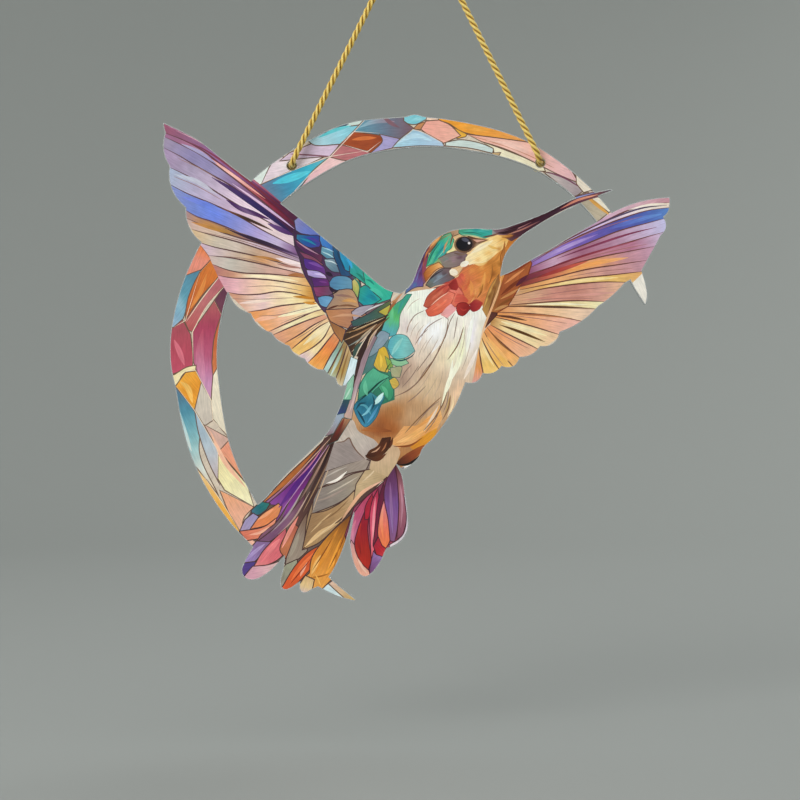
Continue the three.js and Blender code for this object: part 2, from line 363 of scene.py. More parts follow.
class Drawing:
    """A pile of flat patches, the last on top, in hundredths of the wing span from the moon's centre."""

    def __init__(self):
        self.patches = []
        self.washes = []
        self.group_start = 0

    def begin(self):
        """Starts a group: washes reach only the patches that lie in it so far."""
        self.group_start = len(self.patches)

    def add(self, loops, colours, start, end):
        """Adds a patch with closed loops and colours that run from start to end."""
        points = np.vstack(loops)
        self.patches.append({
            "loops": loops,
            "low": points.min(0),
            "high": points.max(0),
            "colours": np.array([read_colour(word) for word in colours.split()]),
            "start": np.asarray(start, float),
            "end": np.asarray(end, float),
        })

    def pane(self, text, colours, edge=LINE_COLOUR, width=LINE_WIDTH):
        """A pane. Its colours run from its first point to the point farthest from that."""
        line = trace(text, True)
        far = line[np.argmax(((line - line[0]) ** 2).sum(1))]
        self.add([line], colours, line[0], far)
        if edge:
            self.ring(line, width, edge)

    def ring(self, line, width, colour):
        """A thin line all round a closed outline."""
        self.add([beside(line, width / 2, True), beside(line, -width / 2, True)], colour, line[0], line[1])

    def fan(self, lines, colours, edge, width):
        """Feathers side by side: one area between each two lines, which run from tip to root."""
        traced = [trace(text, False) for text in lines]
        for upper, lower, colour in zip(traced, traced[1:], colours):
            outline = np.vstack([upper, lower[::-1]])
            self.add([outline], colour, (upper[0] + lower[0]) / 2, (upper[-1] + lower[-1]) / 2)
        for line in traced[1:-1]:
            self.tapered(line, width, edge, FAN_FULLNESS)

    def tapered(self, line, width, colours, fullness):
        """A line that is widest in its middle. Fullness 0 is a long lens, and near 1 it is almost even."""
        lengths = np.concatenate([[0], np.cumsum(np.linalg.norm(np.diff(line, axis=0), axis=1))])
        share = lengths / lengths[-1]
        profile = np.sin(math.pi * share) ** (1 - fullness)
        half = width / 2 * np.maximum(profile, THINNEST)
        left = beside(line, half, False)
        right = beside(line, -half, False)
        self.add([np.vstack([left, right[::-1]])], colours, line[0], line[-1])

    def stroke(self, text, width, colours):
        """A drawn line of nearly even width with thin ends."""
        self.tapered(trace(text, False), width, colours, STROKE_FULLNESS)

    def leaf(self, text, width, colours):
        """A long feather or streak, pointed at both ends."""
        self.tapered(finer(trace(text, False)), width, colours, LEAF_FULLNESS)

    def spot(self, x, z, across, high, turn, colours):
        """A filled ellipse, its colours running along its turned width."""
        angles = np.linspace(0, 2 * math.pi, SPOT_SIDES + 1)[:-1]
        c = math.cos(math.radians(turn))
        s = math.sin(math.radians(turn))
        flat = np.column_stack([np.cos(angles) * across / 2, np.sin(angles) * high / 2])
        line = flat @ np.array([[c, s], [-s, c]]) + (x, z)
        self.add([line], colours, line[SPOT_SIDES // 2], line[0])

    def wash(self, x, z, across, high, turn, colour, strength):
        """A soft tint over the patches of the group so far."""
        self.washes.append({
            "centre": np.array([x, z]), "size": (across / 2, high / 2), "turn": math.radians(turn),
            "colour": read_colour(colour), "strength": strength,
            "first": self.group_start, "last": len(self.patches),
        })


def finer(line):
    """The line with its stretches parted, so that a width that changes along it stays smooth."""
    made = [line[:1]]
    for a, b in zip(line, line[1:]):
        count = max(1, math.ceil(np.linalg.norm(b - a) / CURVE_STEP))
        made.append(a + (b - a) * np.linspace(0, 1, count + 1)[1:, None])
    return np.vstack(made)


def read_colour(word):
    """A colour written as six hexadecimal digits, as three parts from 0 to 1."""
    return [int(word[i:i + 2], 16) / 255 for i in (0, 2, 4)]


def to_linear(colour):
    """Display colours as the linear ones that materials use."""
    return np.where(colour <= 0.04045, colour / 12.92, ((colour + 0.055) / 1.055) ** 2.4)


# The picture's parts

def draw_moon_top(art):
    """The crescent's panes from the left of its highest point to its right tip."""
    for text, colours in (
        ("2,47.6 2.2,49.6 5.2,49.6 4.8,47.5", "F3D0B8"),
        ("-2.8,47.3 -3,49.6 2.6,49.6 2.2,47.8 0,46.8~", "8FD3DC 5FB6C6"),
        ("4.6,47.6 5,49.8 14,49 24,45 21.9,43.4 15,44.3~ 10.5,45~ 8.7,45.6 6.6,47~",
         "F0A030 F0A040 EFA868"),
        ("6,47 10.3,44.9 10,44.4 8.3,44 6.8,46~", "E8B040"),
        ("1.1,45.9 2.2,47.5 4.7,47.7 6.9,46.7~ 9,44.6 6.2,43.3 5.3,43.1~ 3.3,44.2~", "F0A898 F3B8A4"),
        ("-0.5,45.8 0.6,46.9 2.1,47.4 1.1,45.8", "C98A5C"),
        ("5.9,42.6 6.1,43.3 9,43.8~ 13,43.1~ 15.5,42.1 15.3,41.1 11,42.1~", "D5E3DC C8D8D4"),
        ("13,43.5 18,41.7~ 25.2,38.8 25.7,37.6 24,37.7~ 20,39.3~ 15.6,40.9 15.4,42.1", "F1E8C8"),
        ("10.2,44.9 16,44.2~ 21.9,43.4 24.8,42.5~ 30,38.8~ 32.3,35.2 27.5,37.3~ 23,39.6~ 18,41.9~ "
         "13.2,43.4",
         "F2B5A0 F3C0B0 F0BDB4 E6B8BE"),
        ("15,41.2 16.9,41.3 16.3,40.3", "C9A878"),
        ("25.2,37.5 26.5,36.5~ 30,33.8 31.4,32.4 33.1,33.7 32.2,35.3 28,36.9~", "C8BCB4 A8989C"),
        ("24.6,42.5 27.5,43.2 38,34.6 34.9,33.7 32.6,35.6~ 30,38.7~", "C5C6D8 D5D2E0"),
        ("31.7,36.9 33.6,36 35.3,34 33.2,33.4 31.8,35.1", "EDE0CC"),
        ("30,32.2 34,33.5 38.2,30.6 38.8,29.2 35.6,26.6 32.6,30~", "B2A58E C2B49C"),
        ("33.6,33.2 36,32.6 41,29.4 39,28.8", "EDE4D0"),
        ("35.9,27.6 38.4,29.6 43,28 46.5,20 46.4,10 45.3,11.2 41,17 38,24~", "EFE7DA F2ECE0"),
    ):
        art.pane(text, colours)
    art.leaf("33.3,33 35.6,31.2~ 38.4,28.9", 0.75, "D9A050")
    art.stroke("26,37.5 29.4,36.3~ 32.2,34.6", 0.35, "7A4A5E")
    art.stroke("30.2,38 32,35", 0.3, "A8764E")
    art.stroke("10.2,44.8 16,43.1~ 22,40.9~ 27.5,38.2", 0.18, "C98A70")
    art.wash(20, 42.3, 9, 2.5, -15, "FBD8CC", 0.6)
    art.wash(1, 48, 5, 1.4, 0, "D8F4F4", 0.5)
    art.leaf("11,47.2 16,46.4~ 21.4,44.6", 0.5, "F8B848 F0A848")
    art.leaf("14,43.7 19,42.9~ 25.6,40.6", 0.4, "FAD0C0 F8C8BC")
    art.wash(12, 46, 8, 1.4, -10, "F8C068", 0.6)


def draw_moon_shoulder(art):
    """The crescent's panes at the upper left, under the cord's left hole."""
    for text, colours in (
        ("-32.7,36.2 -31,38.8 -28.7,38.8 -28.3,37.2~ -28.9,36.1~ -30.5,34.9", "DCE6DE E4EEE6"),
        ("-28.8,38.2 -27.6,40.2 -23,40.7~ -17.5,40.6 -22,38.5~ -30.3,35", "E6D2DA EDDFE2"),
        ("-30.5,34.9 -24.6,37.6~ -16.9,40.4 -20.4,37.4~ -22.2,34.9~ -26,31.2 -30,33.4",
         "6C7A94 3F8FB0 38B4CE 7FBBC4"),
        ("-24.6,41.3 -20,43.2 -14.8,43 -16.5,40.5 -20,40.3~ -26.7,39.6", "D2BCD0 D9C0D6"),
        ("-22.4,34.6 -20.3,37.4~ -16.6,40.6 -12.9,39.8 -18,37.2~ -20,35.6", "E4B4BC EDC0C0 F0CCC8"),
        ("-16.9,40.4 -14.6,43 -9.3,41.7 -8.5,41.3 -13,39.7~", "C07878 B86A70"),
        ("-21.3,43.9 -20.6,45.6 -14,47.6 -8.2,49.3 -12.1,45.3~ -14.8,42.9 -20,42.8~",
         "BCDCE6 94D0DE 6CC6D4"),
        ("-17,47.4 -8,49.9 -8.2,48.1 -10.5,46.9~ -14,46.5~", "D5E5DC"),
        ("-14.8,42.9 -12.2,45.4 -6.9,44.9 -6.2,43.7~ -8.5,41.2 -9.4,41.5 -12,42.2~", "A84E28 9C4624"),
        ("-12.2,45.4 -8.2,49.8 -2.3,49.8 -2.2,47.5 0,45.9 -3,43.8~ -7,44.7~", "5F9DB0 6A7C90 7E5C66"),
        ("-7,44.9 -3,44 -4.3,42.2 -8.7,41.2 -6.4,43.6~", "A9A0CC"),
        ("-4.5,42.2 -3,43.9~ -0.4,45.9 1.2,45.5~ 5.4,43.3 5.8,42.5 1,42.6~", "A9D3DF A4C8DE B9CFE6"),
    ):
        art.pane(text, colours)
    art.leaf("-28,35.2 -24,36.4~ -20.6,37.6", 1.5, "4CC4DA 5CD0E0")
    art.stroke("-21.3,43.9 -17,45.6~ -13,46.9", 0.4, "3F5768")
    art.stroke("-24.6,41 -21,40.8~ -16.6,40.5", 0.3, "8A5A68")
    art.leaf("-12.4,43.8 -10,44.1~ -7.6,44.2", 0.8, "D8743C")
    art.leaf("-11,46.2 -8,47.4~ -4,47.4", 0.9, "8CBCCB 9A8090")
    art.leaf("-3.4,43.2 0,44.6~ 3.4,43.6", 0.9, "BFE0F0")
    for text in ("-8.3,49.4 -12.2,45.2~ -16.7,40.4 -20.4,37.2~ -25.8,31.4",
                 "-6.9,45.1 -12,45.4 -14.7,43.1", "5.4,43.2 1.2,45.4~ -0.4,45.8 -4.4,42.3",
                 "-30.5,35.1 -24,37.8~ -16.8,40.5 -9.2,41.7", "-14.6,43 -9.4,41.4 -6.6,43.6"):
        art.stroke(text, 0.15, "E8D8C8")
    art.wash(-25, 38.8, 6, 2, 10, "F6EEF0", 0.7)
    art.leaf("-19,44.2 -16,45.6~ -12.6,46.6", 0.7, "58C4CC 70D0D8")
    art.leaf("-6.6,48.6 -4.6,47~ -3,46.2", 0.8, "8A6068 7A5A66")


def draw_moon_side(art):
    """The crescent's panes down its left side to the lower tip."""
    for text, colours in (
        ("-42.4,23.4 -47,19.4 -45.7,15.1 -42,18.3~ -40.1,20.3", "E07838 E58E78 E58E78 E07A2A"),
        ("-42.2,18.2 -47,16.4 -50,8 -47.6,6.8 -45.8,8.3~ -44.5,13~", "4F7F96 5F9DB0 9FB4CC"),
        ("-40,20.4 -38.4,17 -42,13~ -45.3,8 -44.7,12.5~ -42.4,17.6~", "D87A30 C96A2A C05A2C"),
        ("-38.5,17.1 -37.3,15.3 -41,11~ -43.8,5.9 -44.6,6.3 -45.4,8.1 -42.2,12.4~", "B5606A C07070 B85858"),
        ("-37.4,15.2 -36.6,13.5 -37.9,8.6 -39.6,12.1", "5F3048 7A4050"),
        ("-50,8 -47.6,6.8 -45.8,8.4 -44.2,5.5 -43.7,1~ -43.8,-1 -46.5,-1.9 -50,-3.2",
         "A84E58 B5485A C8506A"),
        ("-39.5,12.2 -43.9,6 -43.6,0 -41.5,-6~ -39.9,-9.4 -39.7,-2~ -39.1,2~ -38,9.3",
         "B0605C A83E5A B85878 CB8FB5 D09AB8"),
        ("-37.9,9.9 -39.5,5~ -40,0 -39.7,-4.5 -38.2,0 -37.4,5", "C8603A CC6A3A D88858"),
        ("-50,-3.2 -47.3,-2.4 -45,-1~ -43.1,-0.6 -43.2,-1.8 -45.3,-2.1~ -47,-4.8 -49.5,-5.2", "F3E2B0"),
        ("-47.3,-4.9 -45.2,-2 -43.1,-1.7 -42,-4 -43.2,-9.6 -44.7,-8.1", "F0A83A E8962A F0A83A"),
        ("-42.1,-4 -40.1,-7.5 -39.8,-11.5 -41.5,-12.6 -43.4,-9.4", "D8CDBB CFC2B4"),
        ("-39.8,-2.6 -38.3,0 -35.8,-13 -36.4,-15.2 -39.8,-11.2 -40.1,-7.5~", "F2E6CC E8DCC4"),
        ("-49.5,-5.2 -47.1,-4.9 -44.2,-8.5~ -42.3,-12~ -42.4,-18~ -38.7,-26.2 -45,-24 -49.5,-12",
         "5A7088 4F8FA4 8FC0C4 D8DCD2 F5D2AE"),
        ("-43.4,-9.4 -41.5,-12.6 -38.6,-17.3 -38.4,-24.2 -40.5,-20~ -42.6,-14~", "98B4C8 B8C4CC D2B8B8"),
        ("-41.7,-12.2 -36,-15.4 -34.7,-19.5~ -31,-25 -30.6,-27.8 -33,-24.2~ -38.7,-17.3",
         "E8A890 EE9E80 F0A078 EE9A78"),
        ("-41.5,-12.3 -36.4,-15.1 -38.7,-17.6", "D9B0A0"),
        ("-38.7,-17.6 -33,-24.2 -31.7,-28.5 -37.5,-25.2 -38.8,-23", "F3E2A8 F6EBB5 FBF2C8"),
        ("-38.5,-25.2 -31.7,-28.5 -33.8,-31~ -33.8,-34.2 -36,-31~", "F0A878 F0B090 F2BCA0"),
        ("-43.4,-20.3 -40,-24.5~ -38,-27.5~ -33.9,-34.2 -34.8,-37.5 -45,-26", "F5D2A0 F2B04A F0B860"),
        ("-34.4,-33.8 -30.6,-34.7 -31.8,-38.4 -34,-37", "F2B9A0"),
        ("-20,-43.4 -16.2,-42.2 -11,-46.8 -13.6,-48.4", "C8DEE2 E4F0F0"),
        ("-17.6,-43.1 -15,-45.5~ -12.7,-47.5 -11,-46.6 -13.6,-43.6 -16.6,-41.4", "E8C4B4 DCB890 C8A458"),
    ):
        art.pane(text, colours)
    art.leaf("-41.8,6.5 -42.4,1.5~ -41.4,-5", 1.6, "B84A62 D8A0C0")
    art.leaf("-46.3,-3.8 -44.8,-5~ -43.8,-8", 1.1, "F8C060")
    art.leaf("-47.6,-6.5 -46.4,-11~ -44,-17.5", 1.2, "7CB8C4 DCE4DC")
    art.leaf("-40.3,-13.6 -37.5,-19.5~ -33.4,-24.6", 0.9, "F8C0A0")
    art.leaf("-41,17.4 -42.2,14~ -44.2,10.6", 0.9, "E08A40")
    art.leaf("-47.4,4.4 -46.2,1.6~ -45.4,-0.6", 1.1, "D87080")
    for text in (
        "-42.3,17.9 -45.2,8.2 -47.5,6.9", "-40.1,20.2 -42.3,17.7", "-38.4,17 -42,12.4~ -45,8",
        "-37.4,15.1 -41,11~ -43.8,6 -43.7,-0.8",
        "-39.5,12 -38.2,9.4", "-45.2,-1.9 -43.2,-1.6 -40.1,-7.6 -39.8,-11.4 -36.2,-15",
        "-47,-4.8 -43.4,-9.5 -38.8,-17.5 -38.8,-23",
        "-38.7,-25.2 -32,-28.3", "-43,-20.4 -38,-27.6 -34,-34",
    ):
        art.stroke(text, 0.16, "F0DCC0")
    art.wash(-46.5, 12, 3, 7, 20, "B8D4E0", 0.5)


def draw_left_wing(art):
    """The left wing: long flight feathers from the leading edge down, then the small ones at its root."""
    art.fan((
        "-50.4,48 -43,44.7~ -37,40.3~ -32.3,36.1~ -27,31.9~ -22.2,28",
        "-50,45.4 -46,43.9~ -42,41.8~ -36,37.2~ -30,32.8~ -26,29.3~ -22.8,26.8",
        "-49.6,44.5 -46.2,42.9~ -42,40.7~ -37,37.2~ -30.4,32~ -26,28.3~ -23.1,26.3",
        "-49.8,42.4 -46.5,40.7~ -43.7,39~ -40,36.9~ -36,34.6~ -30,30.1~ -23.8,25.2",
        "-48.8,38.6 -45,36.8~ -41.5,35~ -38,32.8~ -34,30.4~ -28.5,27.4~ -23.6,24.6",
        "-48.6,35.2 -45,33.3~ -40,31.2~ -35,28.9~ -30,26~ -23.3,22.6",
        "-45.8,30.3 -43,28.7~ -40,27.7~ -36,26.1~ -32,24.2~ -22.6,20.8",
        "-45.3,28.5 -42.3,27.2~ -39,25.9~ -35,24.6~ -30,23.1~ -22.5,20.3",
        "-44,26.2 -41,25.3~ -35,23.7~ -30,22.1~ -22.4,19.6",
        "-42.7,23.7 -40,22.8~ -35,21.7~ -30.5,20.7~ -22.6,18.4",
        "-40.6,21 -36,20.5~ -32,19.7~ -28,18.8~ -22,17.4",
        "-39.9,19.3 -37,18.2~ -34,17.6~ -28,17.3~ -21.6,16.6",
        "-38.9,17.1 -36,16.6~ -31,16.4~ -27,16~ -20.3,14.8",
        "-37.1,13.8 -34,13.3~ -30.5,13.4~ -27,13.9~ -23,13.4~ -19.8,12.5",
        "-33,9.9 -30,10.3~ -27,11~ -24,11.4~ -19.2,11.9",
        "-29,5.9 -26,7.3~ -23,8.6~ -20,9.9~ -17.6,10.6",
        "-28.3,5.2 -24.5,6.9~ -21,8.3~ -17.8,9.4",
        "-25.7,3.7 -22.5,5.6~ -20,7.3~ -17.2,8.7",
        "-24.5,2.4 -21.5,4.9~ -19,6.9~ -16.8,8.1",
        "-22.8,1.4 -20,3~ -18,4.8~ -16.5,7.6",
        "-21.1,-0.1 -19,2~ -17,4.5~ -15.6,6.2",
        "-18.3,-1.9 -16.5,1.5~ -15.5,3~ -14.4,5.2",
        "-17.8,-3.3 -15.5,1~ -13.9,4.2",
        "-15.9,-4 -14.4,0~ -13.2,3.9",
        "-14,-5 -13.1,-1~ -12.3,2.6",
    ), (
        "9A5068 8F5F80 94669A 7E4878 5A1F40 4A1A3A",
        "9A6488 A8708C B88090 C86A68 8A2840 4A1430",
        "A090A8 8F86B0 9A90B8 8A6088 5A2A50 3A1238",
        "A890B0 A89AB4 C8B4CC ECD4E0 F0D8E8 4A2460",
        "A8B4CC B4ACC8 C4B0CC D8B8CC F0D8D8 E0C8D0",
        "8490C8 7488D0 6F84DC 8A90D4 B4A4D8 C8B8D8 7A5080",
        "B09098 C08850 B08048 8A6880 5A4070 A888A8",
        "C8A89C D8BCA8 D4BCB0 D0B8C4 C0A8BC A890A8",
        "D8B890 CFC0AC D0BEB0 C8A488 D8B0A0 F6DCDC",
        "D0B4C4 D4BEB8 D0B498 D09868 E8C4B4 F4D8D4",
        "D0B8B0 C8C0B4 C8B4A4 D0A898 D8A898 B07050",
        "B87870 D0987C F8E0C0 FBE6C0 F8D8A8 E0A868",
        "DCA0AC E8B4B8 F4C8B4 FBD8B0 FBE4BC F4CC88 C88838",
        "D0987C F0C8B4 F0CCC8 F8DCB8 FBE8B8 F8DCA0 E09C40",
        "F0A060 F2B080 F6C0A0 F8D8A8 FBEDBE FBF0C8",
        "D8A088 FBEDBE F8E4B0 E8C890",
        "E0A080 E8A878 E8B090 E0A080",
        "E8A060 F0B878 F5CFA0 F0C898",
        "F5C878 F2C070 F8E3B0 FAE8C0",
        "E8C8D0 F8E0A8 F4D4A0 F0C890",
        "F8B060 F09A48 E88850 D89868",
        "A8D0C8 C0D8D0 8FB0A0 A8A078",
        "B8D4CC B09858 9A8050 A88858",
        "D8C8A8 B09050 C0A070 C8A878",
    ), "5A3838", 0.28)
    for text, width, colours in (
        ("-47,45.6 -42,43.2~ -36,39~ -30,34.4~ -24,29.4", 0.4, "D8A8B8 C88090 7A2848"),
        ("-46,44 -41,41.6~ -35,37.4~ -29,32.6~ -24,28.4", 0.45, "7A3858 8A3848 5A1028"),
        ("-44,42.4 -40,40~ -35,36.3~ -29,31.8~ -24,27.6", 0.55, "8A4060 7A2038 5A1028"),
        ("-42,41.2 -38,38.4~ -34,35.5~ -29.5,32.2", 0.55, "F0B0A8 F8C0B4 E89890"),
        ("-48.6,46.4 -45,45.2~ -41,43", 0.6, "B07890 9A5A88"),
        ("-40,36.4 -36,34~ -30,29.9~ -24,25.2", 1.15, "5A3A68 2E1E5A 241848"),
        ("-36,35.2 -31,31.7~ -26,28~ -23.6,26.1", 0.5, "E8C8E0 C8A8D0"),
        ("-37.2,32 -34.6,30.4~ -31.5,29.2~ -28.6,28.1", 1.0, "4A2460 3A1A50 5A2A60"),
        ("-38,30.3 -34,28.6~ -31,27.3~ -28,25.9", 0.6, "8A5040 3A2418 5A3828"),
        ("-29,27.3 -26,25.9~ -23.8,24.9", 1.0, "6A4880 4A2460"),
        ("-37.4,26.4 -33,24.7~ -28,22.9~ -23,21", 0.8, "3A2038 2A1830 5A4068"),
        ("-44,27.6 -40,26.4~ -36.4,25.3", 0.7, "C88848 B08038"),
        ("-46,32.6 -41,31~ -36,28.6", 1.1, "7C88D8 6C84E0 8A94DC"),
        ("-46,43 -42.5,41.4~ -39,39", 0.7, "B0A8C8 A098C4"),
        ("-47.4,37 -43,35.6~ -39,33", 0.9, "C0C8D8 C8C0D0"),
        ("-27.4,20.5 -25,19.9~ -22.4,19.3", 0.8, "F8E0E0 FBE8E8"),
        ("-27.2,19.4 -25,18.9~ -22.2,18.5", 0.5, "A87868 B88078"),
        ("-32,20.9 -29,20.5~ -26,19.7", 0.5, "C08848 B87840"),
        ("-25,17.1 -23.2,17.2~ -21.8,16.9", 0.7, "A8683C B87848"),
        ("-34,17 -28,16.8~ -23,15.9", 0.5, "FFF0C8 FDEBC0"),
        ("-24,12.9 -21.8,12.8~ -19.6,12.4", 0.6, "D09030 C07820"),
        ("-22,11.8 -20.4,11.6~ -19.3,11.5", 0.6, "E0A040 C88028"),
        ("-34.6,11.6 -31,12~ -27,12.6", 0.7, "F8DCD4 FBE4C8"),
        ("-27,8.9 -24,9.7~ -20,10.7", 0.8, "FFF4C8 FFF6D0"),
        ("-32,8 -30,8.6~ -27.4,8.8", 0.9, "F8B088 F8C4A8"),
        ("-22,3.4 -19.6,5.4~ -17,7.4", 0.8, "F8E4B4 FBE8BC"),
        ("-20.2,-0.6 -18.6,0.8~ -17,3", 1.0, "F8A850 F0904C"),
        ("-16.6,-2.6 -15.4,0~ -14.2,2.8", 0.6, "D8ECE8 90A888"),
        ("-14.8,-4 -13.9,-0.6~ -12.9,2.6", 0.35, "8A6430 A07C48"),
    ):
        art.leaf(text, width, colours)
    for text in (
        "-41.6,25.6 -35,24.1~ -28,21.9~ -23,20.2", "-38,20.9 -33,20.3~ -27,18.6",
        "-31,9.1 -27,9.3~ -22,10.4~ -19,11.1", "-36.6,12.5 -31,12.4~ -24,12.7",
        "-23.6,4.4 -20.6,6.3~ -18,8.2",
        "-46.8,40.2 -42,38~ -38,35.5", "-47.6,36.6 -43,34.7~ -38,31.9", "-26.6,7.6 -22,9.3~ -18,10.4",
        "-44.2,29 -38,26.7~ -33,25", "-33.6,14.8 -28,15~ -22,14",
    ):
        art.stroke(text, 0.14, "9A7468")
    art.wash(-40, 29.6, 9, 2.6, -25, "6C8CF0", 0.5)
    art.wash(-33, 29.5, 8, 1.6, -33, "F8E6EC", 0.35)


def draw_left_coverts(art):
    """The small feathers at the left wing's root: plum, purple, blue, teal, olive and tan."""
    for text, colours in (
        ("-24,25.6 -23,27.9 -17,23.4 -15,18 -11,17 -10,12 -5,13.4 -4.6,10.4 -12,6.4 -18,10 -19.7,12.2 "
         "-20.4,14.8 -21.6,16.8 -22.3,18.5 -22.8,20.6 -23.7,22.8", "3A2040 4A2A50 5A4868 8A7060"),
        ("-23.9,24.5 -22,23.2~ -18.2,21 -18.6,19.4~ -21.4,21.2~ -23.2,22.8", "5A2A50 4A1E50 6A3048"),
        ("-22.9,21.9 -20,20.7~ -18,19.2 -18.6,18.9~ -21.8,20.5", "7A3A58 8A4A60"),
        ("-23.8,27.9 -22.4,29 -18.9,25.9 -18.7,24.4 -20,24.9~ -22.6,25.4~ -23.5,26",
         "8A88B8 6A78C0 5C70B8"),
        ("-23.3,25.2 -21,25~ -19,24.9~ -18.4,23.9~ -18.8,22.7 -20.5,22.5~ -22,23.1~ -23.4,24.3",
         "2F7A98 1F5A98 2A4A98 4A3A90"),
        ("-22,20.5 -19.9,20~ -17.8,18.7 -17.5,17.1 -19,17.8~ -21.5,18.5~", "4A2A88 5A2A80 6A3A80"),
        ("-21.4,18.2 -19,17.9~ -17.7,17.2 -17.3,16.2~ -20,16.7~ -21.1,17.1", "C0A8DC A898D0 C8A0D0"),
        ("-20.5,16.7 -17.2,16.4 -16.8,15.1~ -19.9,14.7", "4A1E60 5A2870 6A2868"),
        ("-20.1,14.8 -16.8,15 -16.1,13.6~ -18,12.9~ -19.5,12.9", "8A3A68 7A3A60 6A5068"),
        ("-19.2,12.7 -17.8,13.1~ -16.1,12.7~ -15.9,11.7~ -17,10.8~ -18.6,11.2~", "5A90B8 6AA0C8 7AA8C4"),
        ("-18.7,25.9 -17,25 -14.9,22.3 -15.6,21.3~ -18.3,22.8 -18.8,24", "4A88C8 3F78C0 2F68A8"),
        ("-18.4,22.9 -16,21.6~ -15.6,20.4 -17,20.2~ -18.6,21.4", "6AA0B8 4F8098"),
        ("-17.9,20.3 -15.8,20.3~ -14.6,18.9 -14.8,17.6 -16.4,17.9~ -17.6,19", "8AA0AC 6A8898 5A7890"),
        ("-16.2,22.8 -14.7,21.6 -14.1,19.6~ -12.4,17 -14.3,16.9~ -15.1,18.5~ -16,20.8",
         "1F5A80 1A4870 2A5078"),
        ("-15.2,23 -12,20.4 -12.6,17.8 -13.7,18.1~ -14.7,20.4~", "3F90C0 2A90B8 2088A8"),
        ("-12.8,20.6 -9,17.6 -9.6,15.2 -11.6,16.6~ -12.9,17.5", "2A98A8 2F9A90 38A890"),
        ("-10.3,18.2 -4.2,14.2 -4.8,12.4 -6,12~ -8,11.6~ -9.8,15.4", "2FA890 3FC0A0 38B898 30B09A"),
        ("-10.9,14.6 -9.7,15.2~ -8,13.6~ -6.6,12.4 -8,11.5~ -10,11 -11.2,12", "2FA08A 1890A0 28B0A0"),
        ("-16.9,15.7 -16,16.8~ -13.2,16.8~ -12.2,15.8~ -12.5,14.3~ -15.6,14.2~ -16.8,14.9",
         "4F80A8 5A90B0 6A98B0"),
        ("-12.4,16 -11.6,16.6~ -10.9,15.8~ -11,14~ -11.2,12.7 -12.1,13.1~ -12.3,14.4",
         "D0C078 B8B860 88A868"),
        ("-16.3,14 -12.5,14.3~ -11.4,12.7 -10.9,10.7 -14,10.3~ -17.6,10.4 -16,12.8",
         "9A8070 B89070 C89A70"),
        ("-17.7,10.3 -14,10.5~ -10.9,10.4~ -8.8,8.6 -12.4,7.6 -13.2,6.6 -16.6,7.7", "C88858 B88060 A87858"),
        ("-12.5,9.9 -11,10.9~ -7.8,11.4 -9.6,9.8~ -12.1,8.1", "B0A4B0 A09AA8"),
        ("-12.6,8 -9.4,9.4~ -7,11~ -4.8,12.2 -4.8,9.6 -7,8.4~ -10,7.2~ -12.2,6.9", "3A5A58 3F5F58 5F7040"),
        ("-7.3,9.9 -4.8,11.4 -5.4,8.9", "B8A840 C0B850"),
        ("-14.2,4.6 -13.4,6.4 -12.5,7 -10,7.3~ -7,8.4~ -4.8,9.8 -5.4,6.6~ -8,3.6~ -10.6,1 -12.4,1.4 "
         "-13.2,3.4",
         "3F2A1C 4A3220 3A2818 2A1C14"),
        ("-14.4,3.8 -13.6,6.4 -16.6,8 -17.6,9.6 -15.9,5.8", "B07848 8A5A38"),
    ):
        art.pane(text, colours, "3A2A3A", 0.16)
    for text, width, colours in (
        ("-15.8,13.2 -13.8,13.1~ -11.9,12.7", 0.5, "8A6A68 A87C60"),
        ("-14.4,12 -12.8,12.2~ -11.3,11.7", 0.7, "D09858 E0A868"),
        ("-15.4,11 -13.2,11.2~ -11.2,10.8", 0.4, "7A5038 8A5C3C"),
        ("-16.4,8.9 -13.6,9.3~ -10.4,9", 0.5, "D8A078 C89878"),
        ("-17.6,17.7 -16.8,17.3~ -16.2,16.9", 0.8, "2A1830"),
        ("-16.9,14.8 -16.2,14.1~ -15.4,14.2", 0.7, "2A1830"),
        ("-16.4,13.3 -15.6,13.8~ -14.8,14.4", 0.3, "2A1C20"),
        ("-17.3,10.4 -16,10.9~ -15,11.2", 0.4, "5A2E20"),
        ("-21.4,24.6 -20,24.2~ -18.9,23.6", 0.5, "3A3AA0 5A3A90"),
        ("-22.6,24.4 -20.8,23.8~ -19.4,23", 0.4, "1F88A8"),
        ("-8.9,14.4 -7.6,14~ -6.2,12.9", 0.9, "50C8A8 40B8A0"),
        ("-9.6,13 -8.4,12.8~ -7.4,12.1", 0.9, "188898"),
        ("-9.6,16.3 -8.8,16~ -8,15.2", 0.4, "188878"), ("-11.6,17.6 -10.6,16.8~ -9.8,15.6", 0.5, "1A8070"),
        ("-13.6,20.4 -12.8,19.6~ -12.4,18.4", 0.6, "38A0D0"),
        ("-21,19.6 -19.6,19.3~ -18.2,18.6", 0.6, "7A4AA0"),
        ("-19.9,17.4 -18.6,17.3~ -17.8,16.9", 0.4, "D8C8F0"),
        ("-18.9,15.9 -18,15.8~ -17.3,15.6", 0.4, "7A3A88"),
        ("-18.4,21.8 -17,21.2~ -16,20.6", 0.25, "B8DCE0"),
        ("-18.2,22.6 -17,22.2~ -16,21.7", 0.25, "A8D4E4"),
        ("-17.8,20 -16.4,19.8~ -15.3,19.2", 0.25, "C8D8DC"),
        ("-15.4,22 -14.9,20.6~ -13.8,18.4", 0.35, "143C58"),
        ("-12.4,17 -11,15.4~ -10.9,13.6", 0.35, "1F7868"),
        ("-23.4,23.9 -21.4,22.5~ -19,21.2", 0.3, "B88AA0"),
        ("-5.4,9.2 -8,8.2~ -12.2,6.6", 0.35, "E8D0B0"), ("-9.9,9.9 -8.2,10.8~ -6,11.6", 0.3, "D8D8D8"),
    ):
        art.leaf(text, width, colours)
